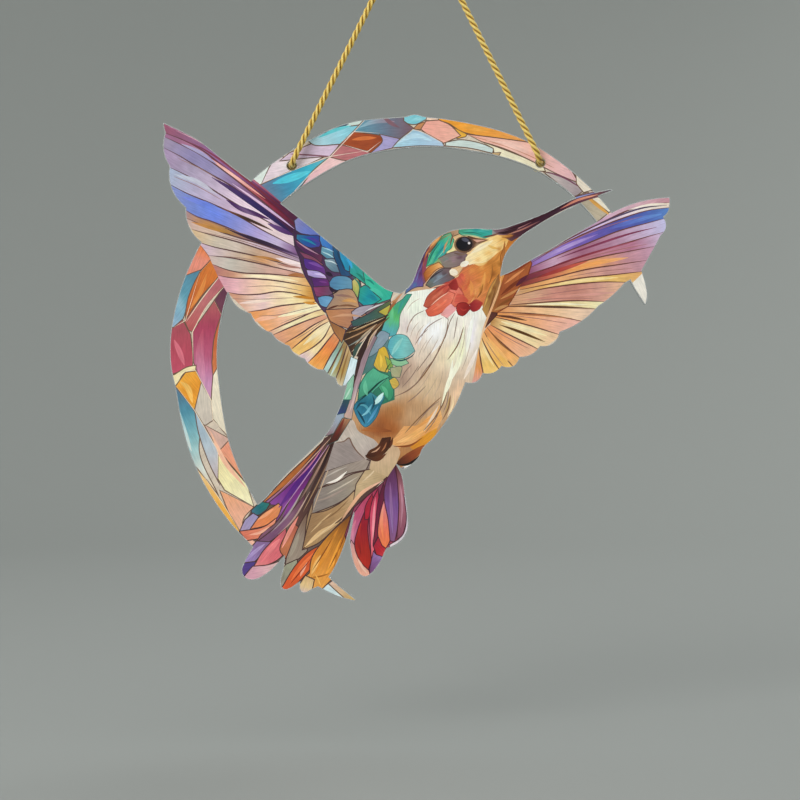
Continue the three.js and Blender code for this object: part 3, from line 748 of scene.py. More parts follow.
    # A painted highlight: a pale blue line along the wing's cut leading edge, where the acrylic's edge
    # catches the light
    art.leaf("-23.6,29.4 -17.5,24.8~ -11.5,19.4~ -4.6,14.1", 0.6, "B8B0D8 A8C8E8 88C8DC A8DCD8")


def draw_right_wing(art):
    """The right wing: flight feathers from violet through rose and gold to orange, with rust coverts."""
    art.fan((
        "50.9,33.6 45,32.9~ 41,30.9~ 38.9,29.6~ 35.4,27.4~ 28,24.6~ 21.4,20.6",
        "50.9,31.5 46,31~ 42,29.9~ 37,27.6~ 30,24.1~ 22.6,19.7",
        "50.6,30.5 46,29.9~ 41,28.4~ 35,26~ 29,23.2~ 22.3,19.2",
        "49.6,28.4 45,27.2~ 40,25.8~ 34,23.4~ 28,21~ 21.7,18.2",
        "49.3,25.7 45,24.5~ 40,23~ 34,21.2~ 28,19.1~ 22,17.2",
        "47.2,22.8 42,21.8~ 36,20.6~ 30,18.9~ 25,17.1~ 21.2,15.7",
        "45.9,20.1 40,19.2~ 34,18.3~ 28,16.8~ 20.7,14.8",
        "45.2,17.9 39,17.2~ 33,16.6~ 27,15.5~ 20.5,14.2",
        "42.9,15.7 37,15.8~ 31,15.3~ 25,14.4~ 19.5,13",
        "37.8,11.9 32,12.1~ 27,11.9~ 18.7,11.3",
        "36.6,10.4 30,10.9~ 24,11~ 17.7,10.9",
        "33.7,7.9 28,9~ 22,9.6~ 15.7,9.8",
        "28.8,5.3 24,6.8~ 20,7.9~ 15.2,9",
        "24.8,2.3 20,4.7~ 17,6.2~ 14.8,7.4",
        "21.2,0.4 18,3~ 15.5,5.3~ 14.1,6.9",
        "19.9,-1.6 17,1.8~ 14.5,4.5~ 13.6,6",
        "17,-2.1 15,1~ 13.6,3.7~ 13,5.2",
        "13.7,-3.4 13.1,-0.5~ 12.4,4",
        "10.6,-4.8 11,-2~ 12,1.4",
    ), (
        "C8909C D9AEB8 D8B0C4 B890B8 9A88B8 8A80B0",
        "F0DCC8 F3E6E0 E0C8E0 C0A8D8 B098CC 8A68A8",
        "5C88C8 5468B8 5558A8 6A5CB0 7E60B4 A488CC 8A60A8",
        "C8C4E8 CCB0CC B888A0 A86C84 D0A8C0 8A4868",
        "D0B8D4 B87890 C08090 B87078 A04850 6A2838",
        "C89AB0 C89098 E8A070 F0AC6C C86850 7A3030",
        "C898A8 D09898 D8A090 F0B078 F0B070 D08850",
        "E8B070 EDC070 F5D080 F5CC88 E8B068 D0A078",
        "E8B898 D8A090 C88878 D09080 D8A888 D8A078",
        "F8F0C0 F3DFA8 F0D898 DDB080 B88058",
        "E8C8B0 F5CFAC F7C898 F0B888 D89058",
        "F0B8A8 F4B89C F2B080 F0A868 E09050",
        "F0C8A0 F7DCA8 F8E0AC F5D8A0 C89050",
        "F0BC98 F2B48C F2A870 E0905C",
        "F5C080 F5B068 F0A868 E89858",
        "F8C878 F5BC60 F5C078 F0B070",
        "FBD080 F5C870 F8D898 F0C080",
        "E8A8A0 E89A55 F0C080",
    ), "6A3E34", 0.27)
    for text, width, colours in (
        ("49.6,30.9 45,30.4~ 40,28.8~ 34,26.1", 0.35, "3A3448 5A4A68 4A3A58"),
        ("49.8,31.3 46,31~ 42,30", 0.35, "FBF0D8 F8ECE0"),
        ("48.6,29.2 44,28.1~ 38,26.2", 1.0, "6A98D8 5F78C8 5A60B0"),
        ("36,25.2 30,22.8~ 24,19.8", 0.7, "9478C0 B8A0DC A080C0"),
        ("47.6,26.6 42,25.2~ 35,22.9~ 28,20.4", 0.42, "7A3050 8A3A58 6A2848"),
        ("44,24 38,22.4~ 30,19.9~ 24,17.6", 0.4, "A85868 8A3040 6A2030"),
        ("34,19.9 29,18.3~ 24,16.6", 0.8, "D86850 B84840 8A2C30"),
        ("42,20.6 36,19.6~ 30,17.9", 0.9, "F8B880 F5A860 F0A058"),
        ("40,16.7 33,16.1~ 26,14.9", 0.7, "F8DC98 FBE0A0 F8D890"),
        ("41,13.9 35,13.4~ 28,12.9~ 21,12.2", 0.5, "E0A8A0 D89888 C88070"),
        ("34,11.3 28,11.5~ 22,11.3", 0.4, "FFF8D8 F8ECC0"),
        ("36,10.5 30,10.8~ 22,11~ 18,11", 0.45, "8A6A50 5A3A28 6A4028"),
        ("31,8.6 25,9.2~ 19,9.4", 0.3, "C88858 A8643C"),
        ("25.6,4 20.6,6~ 16.6,7.4", 0.55, "7A5020 5A3814 6A4018"),
        ("26,5.2 21,6.8~ 17,8", 0.7, "FBE8B8 FCECC0"),
        ("22,8.2 18.6,8.9~ 15.8,9.2", 0.5, "6A4028 5A3020"),
        ("19.4,1.6 17,3.6~ 14.8,6", 0.3, "9A6838 8A5428"),
        ("18.4,0.2 16.4,2.4~ 14.2,5", 0.7, "F8C078 F5B468"),
        ("15.6,-0.8 14.4,1.2~ 13.2,4", 0.5, "FBE0A0 FBE4B0"),
        ("12.9,-2.4 12.6,-0.4~ 12.3,2.4", 0.4, "E09048 F0B070"),
    ):
        art.leaf(text, width, colours)
    for text in (
        "45,28.8 38,26.8~ 30,23.6~ 24,20.6", "46,23.3 39,21.9~ 32,20.1", "43,18.5 37,17.9~ 30,16.8",
        "38,14.8 32,14.2~ 25,13.2", "35,12.6 29,12.6~ 22,12", "30,7.6 24,8.6~ 18,9.3",
        "22.6,2.6 18.6,4.6~ 15.4,6.5", "17.6,-0.9 15.8,1.4~ 13.9,4.2",
    ):
        art.stroke(text, 0.13, "A8706A")
    art.begin()
    art.pane("16.6,17.2 22.6,20.4 23,19.4 22.3,17.2 20.5,14.7 19.5,13 18.3,11 15.6,9.4 14,8.6 14.9,12 "
             "16.2,14.6",
             "A85A2E A0522A 9A5A2C C07840", "7A3418")
    for text, width, colours in (
        ("17.4,17 20,18.2~ 22.9,19.9", 0.5, "8A3A1C"), ("17.6,15.4 19.4,16.8~ 21.6,18.4", 0.5, "D88A54"),
        ("16.9,13.2 18.8,14.8~ 21.6,16.9", 0.7, "7A3418"), ("16.8,12.4 19,13.6~ 20.6,14.6", 0.5, "C88850"),
        ("16.2,10.9 18,12~ 19.6,12.8", 0.6, "8A4E20"), ("15.6,10.2 17,10.8~ 18.4,11.2", 0.6, "C89058"),
        ("19.8,14.9 21,16~ 22.2,17.2", 0.8, "5A2030"),
    ):
        art.leaf(text, width, colours)
    art.pane("14.9,9.8 16.2,9.6~ 15,8.1~ 13.4,6.4 13.9,8", "5A3028 6A3828", "4A2018")
    art.leaf("17.3,18.2 22,20.4~ 28,24~ 35,28", 0.5, "B8C4E0 A8B4D8 C8C0E0 D8B0C0")


def draw_tail(art):
    """The tail: violet and magenta feathers, rose, taupe and gold ones, and the red fan at the right."""
    art.pane("-15,-12.4 -25,-22.2 -30.4,-27.5 -32.3,-29.2 -34.5,-33.2 -31.2,-35.6 -34.9,-39 -35,-43 "
             "-31,-44 -25.4,-39.6 -27,-45 -22,-47 -16,-43 -12.6,-30 -7,-24 -4,-19 -6,-14",
             "4A2A24 5A4640 6A5A54 6A5048", None)
    for text, colours in (
        ("-15.5,-13 -19.5,-17~ -25,-22.2~ -31,-28.6 -27,-26~ -24.2,-23.2~ -21,-19.6~",
         "5A2818 A8602E B86830 C87848"),
        ("-17,-14.6 -21,-19.4~ -24.4,-23.2~ -29.6,-27.6 -28.6,-28 -24.5,-25.4~ -20,-19.5",
         "7A3A48 8A4A60 9A5A80 9A6A98"),
        ("-16,-13.6 -19.4,-18~ -22.6,-22~ -25,-24.4~ -29.2,-28 -27.2,-28.2 -26.4,-28.6 -27.4,-31.6~ "
         "-26.4,-32.6 -24,-28.6~ -21,-23.6~ -18.4,-18.6~",
         "3A1030 3F165A 4A1A70 662880 7A3088 8A4898 7A4078"),
        ("-28.5,-27.8 -30.4,-27.4 -32.3,-29.2 -32,-30.2 -30.6,-30.1 -29.2,-29", "2F8078 1F6A70 4A7A90"),
        ("-31.9,-29.7 -33.5,-31 -34.6,-33.4 -32.6,-33.2 -30.7,-30.4", "9A90B8 A89AC0 B8A0C0"),
        ("-26.9,-27.8 -30.5,-30.3~ -32.5,-32.9 -29.5,-32.2~ -27.1,-30.6~ -26.2,-28.4",
         "E09060 E88850 E88860"),
        ("-34.6,-33.3 -29.8,-32.4~ -27.2,-30.6 -27.6,-32 -30,-34.4~ -33.2,-35.2", "E07860 E88868 EE9878"),
        ("-15.8,-14 -18.6,-19~ -22,-24.6~ -25.6,-30~ -28,-33.4~ -31.6,-35.9 -30,-33.6~ -27.4,-31.6~ "
         "-24,-26~ -20.5,-20~ -17.8,-15", "4A2A24 6A4A48 7A6460 6E5A5A 7A5A68 8A5070"),
        ("-21.4,-25.6 -24.4,-29.4~ -27.5,-32.5~ -31.3,-35.5 -32.8,-37.2 -28.5,-35.3~ -25.4,-32.6~ "
         "-22.6,-29.4~",
         "5A3040 8A6078 7A5070 8A6088"),
        ("-31.2,-35.2 -34,-38.4 -34.9,-41 -32,-39.6~ -30,-37.6~ -28.3,-35.4", "8A6A98 9A80B8 8A70B0"),
        ("-34.8,-39.7 -34.8,-42 -33.2,-42.6 -31,-39.2 -32,-39.3~", "5A4088 4A3A80"),
        ("-25.4,-32.6 -27.5,-34.6~ -30,-37.3~ -31.8,-40.3 -29,-39.9~ -26.2,-38.2~ -25.3,-36~",
         "C8606A DE6C74 E07078 E88C88"),
        ("-32,-40.2 -34,-42.6 -31.4,-43.6 -28,-41.6 -25.3,-38.7 -29,-39.9~", "D8A0B0 E5B8B8 EDC8C0"),
        ("-21.6,-28.6 -24,-31.6~ -25.8,-34.6~ -26.6,-37~ -25.4,-38.8 -23.6,-35.6~ -21.6,-31.6~",
         "5A2E28 9A5040 C06850 C87850 B86A48"),
        ("-15,-13.4 -16.6,-17.6~ -19.2,-24~ -21,-29.4~ -23,-32.4 -24.2,-31.4 -22,-28~ -19.8,-23.6~ "
         "-17.4,-17.6~",
         "3A1810 2A1410 3F2A28 4A302C 6A4640"),
        ("-21.2,-29.4 -22.9,-32.4~ -25.3,-38.4 -25.6,-40.2 -23,-38.8~ -21.2,-37.2 -21.4,-34~",
         "7A5A48 9A8878 A09080"),
        ("-25.4,-39.8 -27,-41.6 -27,-44.8 -25.4,-43.6~ -23.2,-40.1~ -23.2,-38.8", "A0A088 8F8A78 B0A090"),
        ("-18.2,-35.8 -21,-37.4~ -23.5,-40~ -26.6,-45 -24.6,-45.2 -22.8,-43.2~ -20.8,-41 -19,-38.5~",
         "C85828 D85C30 E0602E E05A30"),
        ("-12,-29.4 -17,-34~ -20.3,-38.5~ -20.8,-41.5 -21.5,-42.2 -20.4,-45 -18.2,-44.6 -15.6,-42 "
         "-13.8,-37 -12.6,-32.4",
         "6A3E1A 985C22 C07C2A DC8C34 E89C44 E8A450"),
        ("-21.6,-42 -23.2,-44.4 -22.6,-46 -20.4,-45.6 -19.8,-42.8", "D8B078 E8C890 C8B0C8"),
        ("-15,-13.6 -17.4,-20~ -19.4,-25.4~ -21.2,-30.6~ -21.7,-34.4~ -22.2,-37 -19,-35.6~ -15.5,-32.4~ "
         "-12.6,-29.2~ -11.2,-26 -6,-23.2 -3.8,-20 -4.6,-16 -9,-14", "80726A 907C70 A08464 B89060"),
        ("-15.3,-15.7 -14,-15.7~ -13,-14.8~ -12.4,-16~ -11.5,-17.6~ -9.9,-19 -13,-19.9~ -17.7,-21.6 "
         "-16.6,-18.4",
         "9A8E88 A4968E 988A84"),
        ("-9.9,-19 -8.8,-19.4 -9.6,-21.2 -13.5,-22.1~ -17,-23.9~ -19,-24.9 -17.7,-21.6 -14,-20.2~",
         "A49488 9C8E82 948880"),
        ("-19,-24.9 -15,-23.5~ -12.5,-22.1~ -9.9,-21.4 -11.3,-24.5~ -14.5,-27.4~ -20.3,-29.9 -20,-27",
         "8C8078 9C9082 AC987E"),
        ("-20.4,-29.8 -17.5,-29.2~ -14,-27.2~ -12,-25.3 -11.3,-27 -13.5,-30~ -17.5,-33.1~ -22.2,-36.9 "
         "-21.6,-34.2~",
         "A07C56 B48E62 C4A27A"),
        ("-9.9,-21.3 -3.7,-19.8 -4.1,-20.8~ -5.5,-22.6~ -8,-24.4~ -10.5,-25.9~ -12.1,-27.2 -11.6,-24",
         "C8AC84 BCA078 B89C78"),
    ):
        art.pane(text, colours, "4A2E2A", 0.2)
    for text, width, colours in (
        ("-18.4,-17.4 -21,-21.4~ -24.4,-25.6~ -26.8,-28.6", 1.3, "3A1458 4A1870 5A2080 6A3088"),
        ("-20,-21.4 -23,-25.6~ -26,-30.4", 0.9, "5A1C5A 7A2C80 8A4090"),
        ("-18,-16.6 -20.6,-20.2~ -24,-23.8", 0.3, "C8789A B06A90"),
        ("-22,-25 -25,-30~ -28.4,-33.6", 0.35, "B8A8A8 A89098"),
        ("-20.6,-25.4 -24,-31~ -27,-34", 0.3, "C8A898 B09088"),
        ("-16.8,-16.6 -19.6,-22~ -22.6,-27.2", 0.4, "B89078 8A6A60"),
        ("-23,-30.4 -24.8,-33.6~ -26.2,-36.6", 0.8, "E88878 F0A090"),
        ("-26.6,-34.8 -28.6,-37~ -30.4,-39.4", 1.2, "F08888 E87880"),
        ("-29.6,-35.8 -31.6,-37.4~ -33.4,-39.2", 0.7, "B8A0CC A890C8"),
        ("-22.8,-33.6 -23.6,-36~ -24.8,-38.6", 0.8, "A89A88"),
        ("-21.2,-39 -21.9,-40.4~ -22.6,-42.2", 0.7, "F8C0A8 F0A080"),
        ("-20,-37.6 -22,-39.8~ -24.4,-43", 0.7, "F07840"),
        ("-15,-32.6 -17,-36.4~ -19.6,-41.6", 0.8, "C07828 E89838 E8902C"),
        ("-18.6,-38 -19.6,-40~ -20.4,-41.8", 0.8, "F8C070"),
        ("-14.4,-34.6 -15.8,-38.4~ -17.6,-42", 1.0, "F0A038 F8A840"),
        ("-20.6,-42.4 -18.8,-42.2~ -16.8,-41.6", 0.3, "B06820"),
        ("-17.5,-23.9 -15.4,-23.2~ -13.4,-21.5", 0.55, "F4E8DC F8F0E4"),
        ("-21.7,-36.4 -18.6,-33.6~ -15,-31.6", 0.9, "F0C890 D0A878"),
        ("-6.2,-23.2 -10.4,-25.7~ -12.6,-28.4~ -14.6,-31.4", 0.7, "E8B8A0 F0B890 D0A080"),
        ("-19.6,-27.4 -17,-26.6~ -13,-24.4", 0.4, "A89488"),
        ("-15.6,-18 -13.8,-17.4~ -12.4,-18.4", 0.7, "B0A49C"),
        ("-15.4,-13.6 -19.8,-18.4~ -24.6,-23.4~ -28.6,-27.2", 0.16, "E8C0A0 C89080"),
        ("-16.4,-15.4 -20,-20.6~ -24,-26.2~ -27.2,-30.6", 0.2, "D8A0C0 B080B8"),
        ("-16.6,-18.6 -19.2,-24~ -22,-29.4", 0.25, "8A6A50 B08A68"),
        ("-16.2,-19 -18.6,-25~ -20.4,-30", 0.2, "D0B090"),
        ("-13.2,-32.4 -14.6,-36~ -17,-40.8", 0.25, "8A4A18"),
        ("-16,-34.2 -18,-37.6~ -20.2,-41", 0.25, "8A4A18"),
        ("-14,-33.4 -15.2,-37.4~ -16.2,-41.6", 0.3, "C87820"),
        ("-20.2,-38.4 -22.2,-40.8~ -24.8,-44", 0.2, "8A2A14"),
        ("-18.6,-44 -19,-43~ -19.6,-41.8", 0.4, "F8B858"),
        ("-16.4,-29.6 -18,-31~ -20.6,-33.6", 0.3, "D8B484"),
        ("-13,-27 -15.4,-29.4~ -18.6,-31.6", 0.25, "8A6440"),
        ("-14.4,-30.4 -17,-32.6~ -20,-34.8", 0.25, "E8C898"),
        ("-13.4,-20.6 -15.4,-21.4~ -17.6,-22.6", 0.3, "C4B8AC"),
        ("-11,-22.4 -14,-24.2~ -17.4,-26", 0.3, "C8BAA8"),
        ("-7.4,-20.6 -8.6,-22~ -10.4,-23.6", 0.3, "E0C8A4"),
        ("-31,-31 -29.6,-30.2~ -27.8,-28.8", 0.7, "F8A878"),
        ("-32.6,-34 -30.6,-33.6~ -28.6,-32.4", 0.5, "F8B498"),
    ):
        art.leaf(text, width, colours)
    for text, colours in (
        ("-3.8,-19.6 -6,-23.4 -12,-28.6 -13.8,-34 -12.4,-40 -10,-43 -7,-41.4 -4.4,-36.6 -0.8,-34 -1,-26 "
         "-2.4,-20",
         "5A2A40 8A3A58 A84A60 B87A90"),
        ("-7.2,-24.6 -10,-27~ -12.4,-30.2 -13.6,-34.4 -12,-36.2 -11.2,-33~ -10,-30.4~ -8.7,-27.6",
         "A83050 C04A6A C05A80 C88AA0"),
        ("-12.6,-35 -13,-37 -11.6,-41 -10,-43 -8.8,-41.8 -9.2,-40.7 -10.8,-39.2~ -11.9,-36",
         "D89AA0 E8A890 F0B098"),
        ("-9.9,-29.3 -11.3,-33~ -11.9,-36~ -10.8,-39.2~ -9.2,-40.9 -8.6,-39~ -9,-36~ -9.3,-33~ -9.2,-30.2~",
         "8A1430 A01C28 A8261C B82A1E"),
        ("-8.4,-25.8 -9.8,-28.5~ -9.9,-31 -9.2,-31 -8.1,-28", "A82840 B01830"),
        ("-7.2,-24.9 -8.3,-27~ -8.9,-30~ -8.8,-35~ -8.6,-39.2 -8,-37~ -7.7,-33~ -7.1,-29~",
         "A82848 D04060 E05874 F07080 E86070"),
        ("-6.2,-23.8 -7.2,-27~ -7.8,-32~ -8.3,-36.2 -7.2,-34~ -6.6,-30~ -5.9,-26~", "5A1A38 701838 8A2840"),
        ("-5.9,-26.2 -6.9,-30~ -7.3,-34~ -6.6,-36~ -5.7,-36.7 -4.9,-35~ -5.1,-31~ -5.3,-28~",
         "C87088 E88078 F0785A F08048"),
        ("-8.2,-36.2 -7.2,-34.4 -6.5,-36.1 -5.7,-36.7 -6.1,-38.4 -7.6,-37.9", "A82038 B8202E D04048"),
        ("-9,-40.9 -8.6,-39 -8.2,-37.2 -7.6,-37.9 -6,-38.4 -7,-41 -8.8,-42.4", "7A4A78 8A6098 A080B8"),
        ("-4.1,-20.3 -5.7,-23.5~ -6.1,-26.5~ -5.3,-31~ -4.9,-35.2 -4,-35.4 -3.5,-33~ -3.2,-28~ -3.5,-23~",
         "5A2A48 6A3A68 7A5090 8A5A98 8A5A80"),
        ("-3.9,-20 -3.4,-24~ -3.2,-29~ -3.6,-34.9 -2.4,-34.2 -1.5,-30~ -2,-25~ -2.7,-20.6",
         "5A2A30 A86A78 A06070 8A4A60"),
        ("-2.2,-26 -0.6,-28 -0.6,-34 -4.6,-38 -5.1,-36 -3.4,-35 -2.3,-33.8~ -1.7,-31~",
         "D8D0E0 D8CCD8 E8D8DC"),
    ):
        art.pane(text, colours, "4A1A2A", 0.18)
    for text, width, colours in (
        ("-11.6,-31 -12.3,-33~ -12.2,-35.2", 0.6, "E07890 D88AA8"),
        ("-10.6,-31.6 -11.2,-34.4~ -10.6,-38", 0.6, "C03028 8A1818"),
        ("-7.8,-26.6 -8.1,-30~ -8.3,-35", 0.5, "F08898 F8A0A8"),
        ("-6.2,-28 -6.6,-31~ -6.3,-34.6", 0.6, "F8A090 F88850"),
        ("-4.9,-23.6 -4.7,-28~ -4.4,-33.6", 0.6, "8A5A88 9A78B0"),
        ("-2.9,-24 -2.5,-28~ -2.8,-32.6", 0.4, "C890A0 B07888"),
        ("-11.3,-38.6 -10.2,-40.6~ -9.4,-41.6", 0.5, "F8C8B0"),
    ):
        art.leaf(text, width, colours)


def draw_body(art):
    """The breast, belly, back and flank, with the short green and blue feathers on the back."""
    art.begin()
    art.pane("-1.4,14.4 3.4,15 9,12~ 13.6,12 14.6,9.6 12.6,3~ 11,-4.6~ 7,-11.6~ 1.4,-18.4~ -3,-21 "
             "-4,-19.6 -5,-17 -9,-19 -15.6,-16.2 -14.4,-11 -11.4,-3~ -6,5~ -3.2,9~",
             "F6F8EC F4EEE2 E0CAB4 D2B290 C08C5C B07440", None)
    for x, z, across, high, turn, colour, strength in (
        (4, 6, 7, 9, -30, "FFFFFF", 0.95), (0, 11, 6, 7, 20, "F4FBE8", 0.9),
        (8.5, 6, 6, 12, -20, "FBF3E4", 0.9),
        (11.3, 5, 3, 12, -12, "F0EAF4", 0.9), (12.6, 6.5, 2.4, 9, -15, "F8EFD8", 0.7),
        (-2, 7, 4, 6, 10, "DCCCC8", 0.8),
        (0, 4, 5, 7, -30, "EAD2C4", 0.7), (-1.5, -1, 6, 6, -30, "BFA08C", 0.95),
        (-2.6, -3.6, 6, 6, 0, "A88A78", 0.9),
        (1.5, -2.5, 5, 5, -30, "C4A488", 0.7), (-1, -8, 7, 5, -20, "B88A60", 0.8),
        (3.2, -4.5, 7, 12, -25, "DCC09A", 0.85), (5.6, 1, 6, 10, -25, "F6E2BC", 0.8),
        (9.2, 1.5, 4, 9, -20, "F7F6D8", 0.9),
        (8.4, -6, 3.4, 8, -28, "FAD2AC", 1.0), (10.6, -1.5, 2.5, 6, -20, "F4DCC0", 0.8),
        (7.4, 1.6, 2.6, 9, -18, "FBFBD4", 0.9),
        (2.4, -12.2, 5, 4, 20, "F0A850", 0.9), (3.4, -14.4, 4, 3, 20, "E8942C", 0.9),
        (1, -9, 8, 8, -30, "C49A70", 0.8), (-6, -11.4, 10, 8, 15, "A05C2C", 1.0),
        (-7, -13.4, 9, 5, 0, "98542A", 1.0), (-4.5, -13.4, 6, 5, 0, "A8602C", 1.0),
        (-4, -9.5, 7, 6, 10, "B07440", 0.95), (4, -11, 5, 5, 0, "E8C8A8", 0.6),
    ):
        art.wash(x, z, across, high, turn, colour, strength)
    for text, colours in (
        ("-2.2,-12.6 0.5,-12.4~ 2.6,-10.8~ 4.8,-8.4 5.4,-11 3.8,-13.8~ 0,-15.8~ -4,-17.2 -4.6,-15.6",
         "E8A868 E8A055 F0B878"),
        ("-1,-16.8 1.2,-14.8~ 4.4,-12.9 3.6,-16 1,-18.2", "D88A28 E8A030"),
        ("-4,-20.2 -2.5,-18.6~ 0.5,-16.8~ 2,-16.2 0.6,-18.4~ -2,-20.2~", "3A1A10 8A4020 A85A28"),
        ("-14.2,-11.2 -12.2,-11.4~ -11.2,-13.5~ -8,-15.3~ -7.2,-16.2 -9.2,-18 -9.6,-19.2 -12,-18.6 "
         "-15.9,-16 -15.6,-15",
         "C8B4A4 C8BCB0 B8A8A0"),
        ("-15.9,-15.9 -14.2,-15.7~ -13,-14.9~ -12.3,-16.3~ -11.3,-17.7~ -9.8,-19.1 -13,-19.9 -17.7,-21.5",
         "A0928C 9A8D88 A0908A"),
        ("-5.2,-16 -3.4,-16.6 -2.9,-17.6~ -3.6,-19.9 -5.4,-22.6 -9,-21 -8.6,-19.2 -6.2,-18.4~",
         "D0AC88 D4B490 C8AC84"),
    ):
        art.pane(text, colours, None)
    art.leaf("-10.6,-13.4 -8,-13.2~ -4.6,-13.6", 1.0, "B87038 A05A2C 8A4A22")
    art.leaf("-3.6,-15.8 -0.4,-14.6~ 3.4,-11.4", 1.3, "F6C080 F4B468 F0B478")
    art.leaf("-4.2,-16.6 -1,-16.4~ 1.6,-14.8", 0.4, "7A3A18 A86028")
    art.stroke("-15.6,-15.8 -14,-15.6~ -13,-14.9~ -12.3,-16.3~ -11.3,-17.7~ -9.8,-19.1", 0.25, "7A5A48")
    art.pane("-9.8,-18.7 -9,-17.4~ -7.4,-16.5~ -6.5,-14.9 -4.7,-14.7 -5,-16.8~ -6.4,-18.3~ -8.2,-19.3~",
             "4A2814 5A3018 4A2412 3A1A0C", None)
    for text, width, colours in (
        ("-9.8,-18.4 -8.2,-18.2~ -6.4,-16.6~ -5,-14.8", 1.2, "3A1A0C 5A2A14 4A2412"),
        ("-9.2,-19 -7.4,-19.2~ -5.6,-18", 0.7, "4A2412 6A3418"),
        ("-8.6,-17.8 -7.6,-17.4~ -6.8,-16.6", 0.3, "D0A080"),
        ("-6.6,-17.6 -6,-16.8~ -5.6,-15.8", 0.3, "B07048"),
        ("-5,-17 -4.6,-15.8~ -4.4,-14.8", 0.5, "5A2A14"),
        ("-3.6,-20.3 -1.4,-20.1~ 0.6,-18.8~ 1.7,-17.6", 0.5, "120E0C"),
        ("-2.6,-20.7 -0.8,-20.3~ 1,-18.9", 0.3, "F4F8FC"),
        ("9.6,8.8 9.4,4~ 8.6,0~ 6.6,-4~ 5.2,-8.6", 1.0, "FBF8E8 F8F6D0 FDFBE4 FBF4D0"),
        ("7.4,0.4 7,-3~ 5.8,-7", 0.8, "FDFCE8 FBF8D8"), ("11.6,9.4 10.8,6~ 10.2,2", 0.9, "FFFFF8 F8F8E8"),
        ("12.2,2.6 11.2,0~ 9.6,-3.4", 0.8, "FBF0E8 F8E4D0"), ("3,8 1.6,6~ 0.6,3.4", 0.6, "FFFFFF F4F0F0"),
        ("5.6,5.6 4.8,4~ 3,1.6", 0.7, "FBF8F4 F4ECE4"),
        ("7,-6.4 6.6,-8.4~ 5.8,-10.4", 0.5, "B89860 C8A070"),
        ("7.6,-6.6 7.4,-8.4~ 6.4,-10.8", 0.5, "F8D8A8 F8E0B8"),
        ("4.6,-8.6 3.4,-11~ 1.8,-13.6", 0.6, "F0D8C0 E8C8A8"),
    ):
        art.leaf(text, width, colours)
    for text in (
        "6.6,8.9 6.2,6~ 5.2,3.4~ 3.4,0~ 1,-3.4~ -1.4,-5.6~ -4.4,-6.9", "5.2,-6.8 3,-8.8~ 0.2,-11.6~ -2,-14",
        "6.4,-5.6 5.6,-8~ 4,-10.8~ 1.6,-13.6", "7,-6.6 6.6,-9~ 5.4,-11.4", "9.6,7 8.4,3.4~ 6.4,0.4",
    ):
        art.stroke(text, 0.24, "8A6648 7A5438 9A7450")
    for text in (
        "1.9,10.2 0,9.2~ -1.2,7.4~ -1.6,5.6", "5.6,8.8 4,8~ 2.2,6.6~ 1.2,4.8",
        "7.9,9.8 6.9,8~ 6.4,6.4~ 5.9,4.6",
        "5,9.4 6,8.9~ 6.7,8.2", "5,3.6 4,1~ 2,-1.6~ 0.4,-4~ -1.6,-5.6~ -4.2,-6.9",
        "4.8,-7.6 3,-9~ 1.2,-11~ 0,-12.4",
        "5.2,-7.4 5,-9~ 3.8,-11.6~ 2,-14", "3.4,2.4 2,0.4~ 0.2,-2", "-0.6,-0.4 -2,-2~ -2.8,-3.6",
        "2.6,6.6 1,5~ 0,3.4", "8.4,9 8,6.6~ 7.6,4.4", "0.8,-0.6 -0.8,-3~ -2.6,-5",
        "6.6,-5.2 6.4,-7.6~ 5.6,-9.8",
        "2.2,-4.6 0.2,-6.6~ -1.6,-8",
    ):
        art.stroke(text, 0.17, "8A7064")
    for text in (
        "3.6,5.4 2.4,3.6~ 1.6,1.8", "4.6,4.6 3.6,2.8~ 2.8,1.2", "2.4,4.4 1.4,2.8~ 0.6,1",
        "-0.4,8.6 -1.4,7~ -1.8,5.4",
        "0.8,8 -0.4,6.4~ -0.9,4.8", "1.8,7.4 0.6,5.8~ 0.2,4.2", "10,7.4 9.6,4~ 8.8,1", "11,4 10.2,1~ 9,-2",
        "3.4,-1.4 1.8,-4~ 0.2,-6", "4.6,-2.6 3,-5.4~ 1,-8", "5.6,-1 5,-4~ 3.6,-7",
        "1,12.6 -0.6,11.6~ -1.6,10.2",
        "-3.6,-2 -3,-3.4~ -3.2,-5",
    ):
        art.stroke(text, 0.11, "C0A490")
    art.pane("-11.4,-8 -11,-4.4 -9.6,-2 -8,-0.4 -4,-2.2 -4,-7.4 -6.6,-8.4", "2A6A5C 2F7A60 3A8060", None)
    art.pane("-10.9,-3 -10.1,1.2 -8,3.8 -5.2,5.2 -4.8,2 -5.2,-2.2 -8,-1", "4A7A70 5A7C80 6A9090", None)
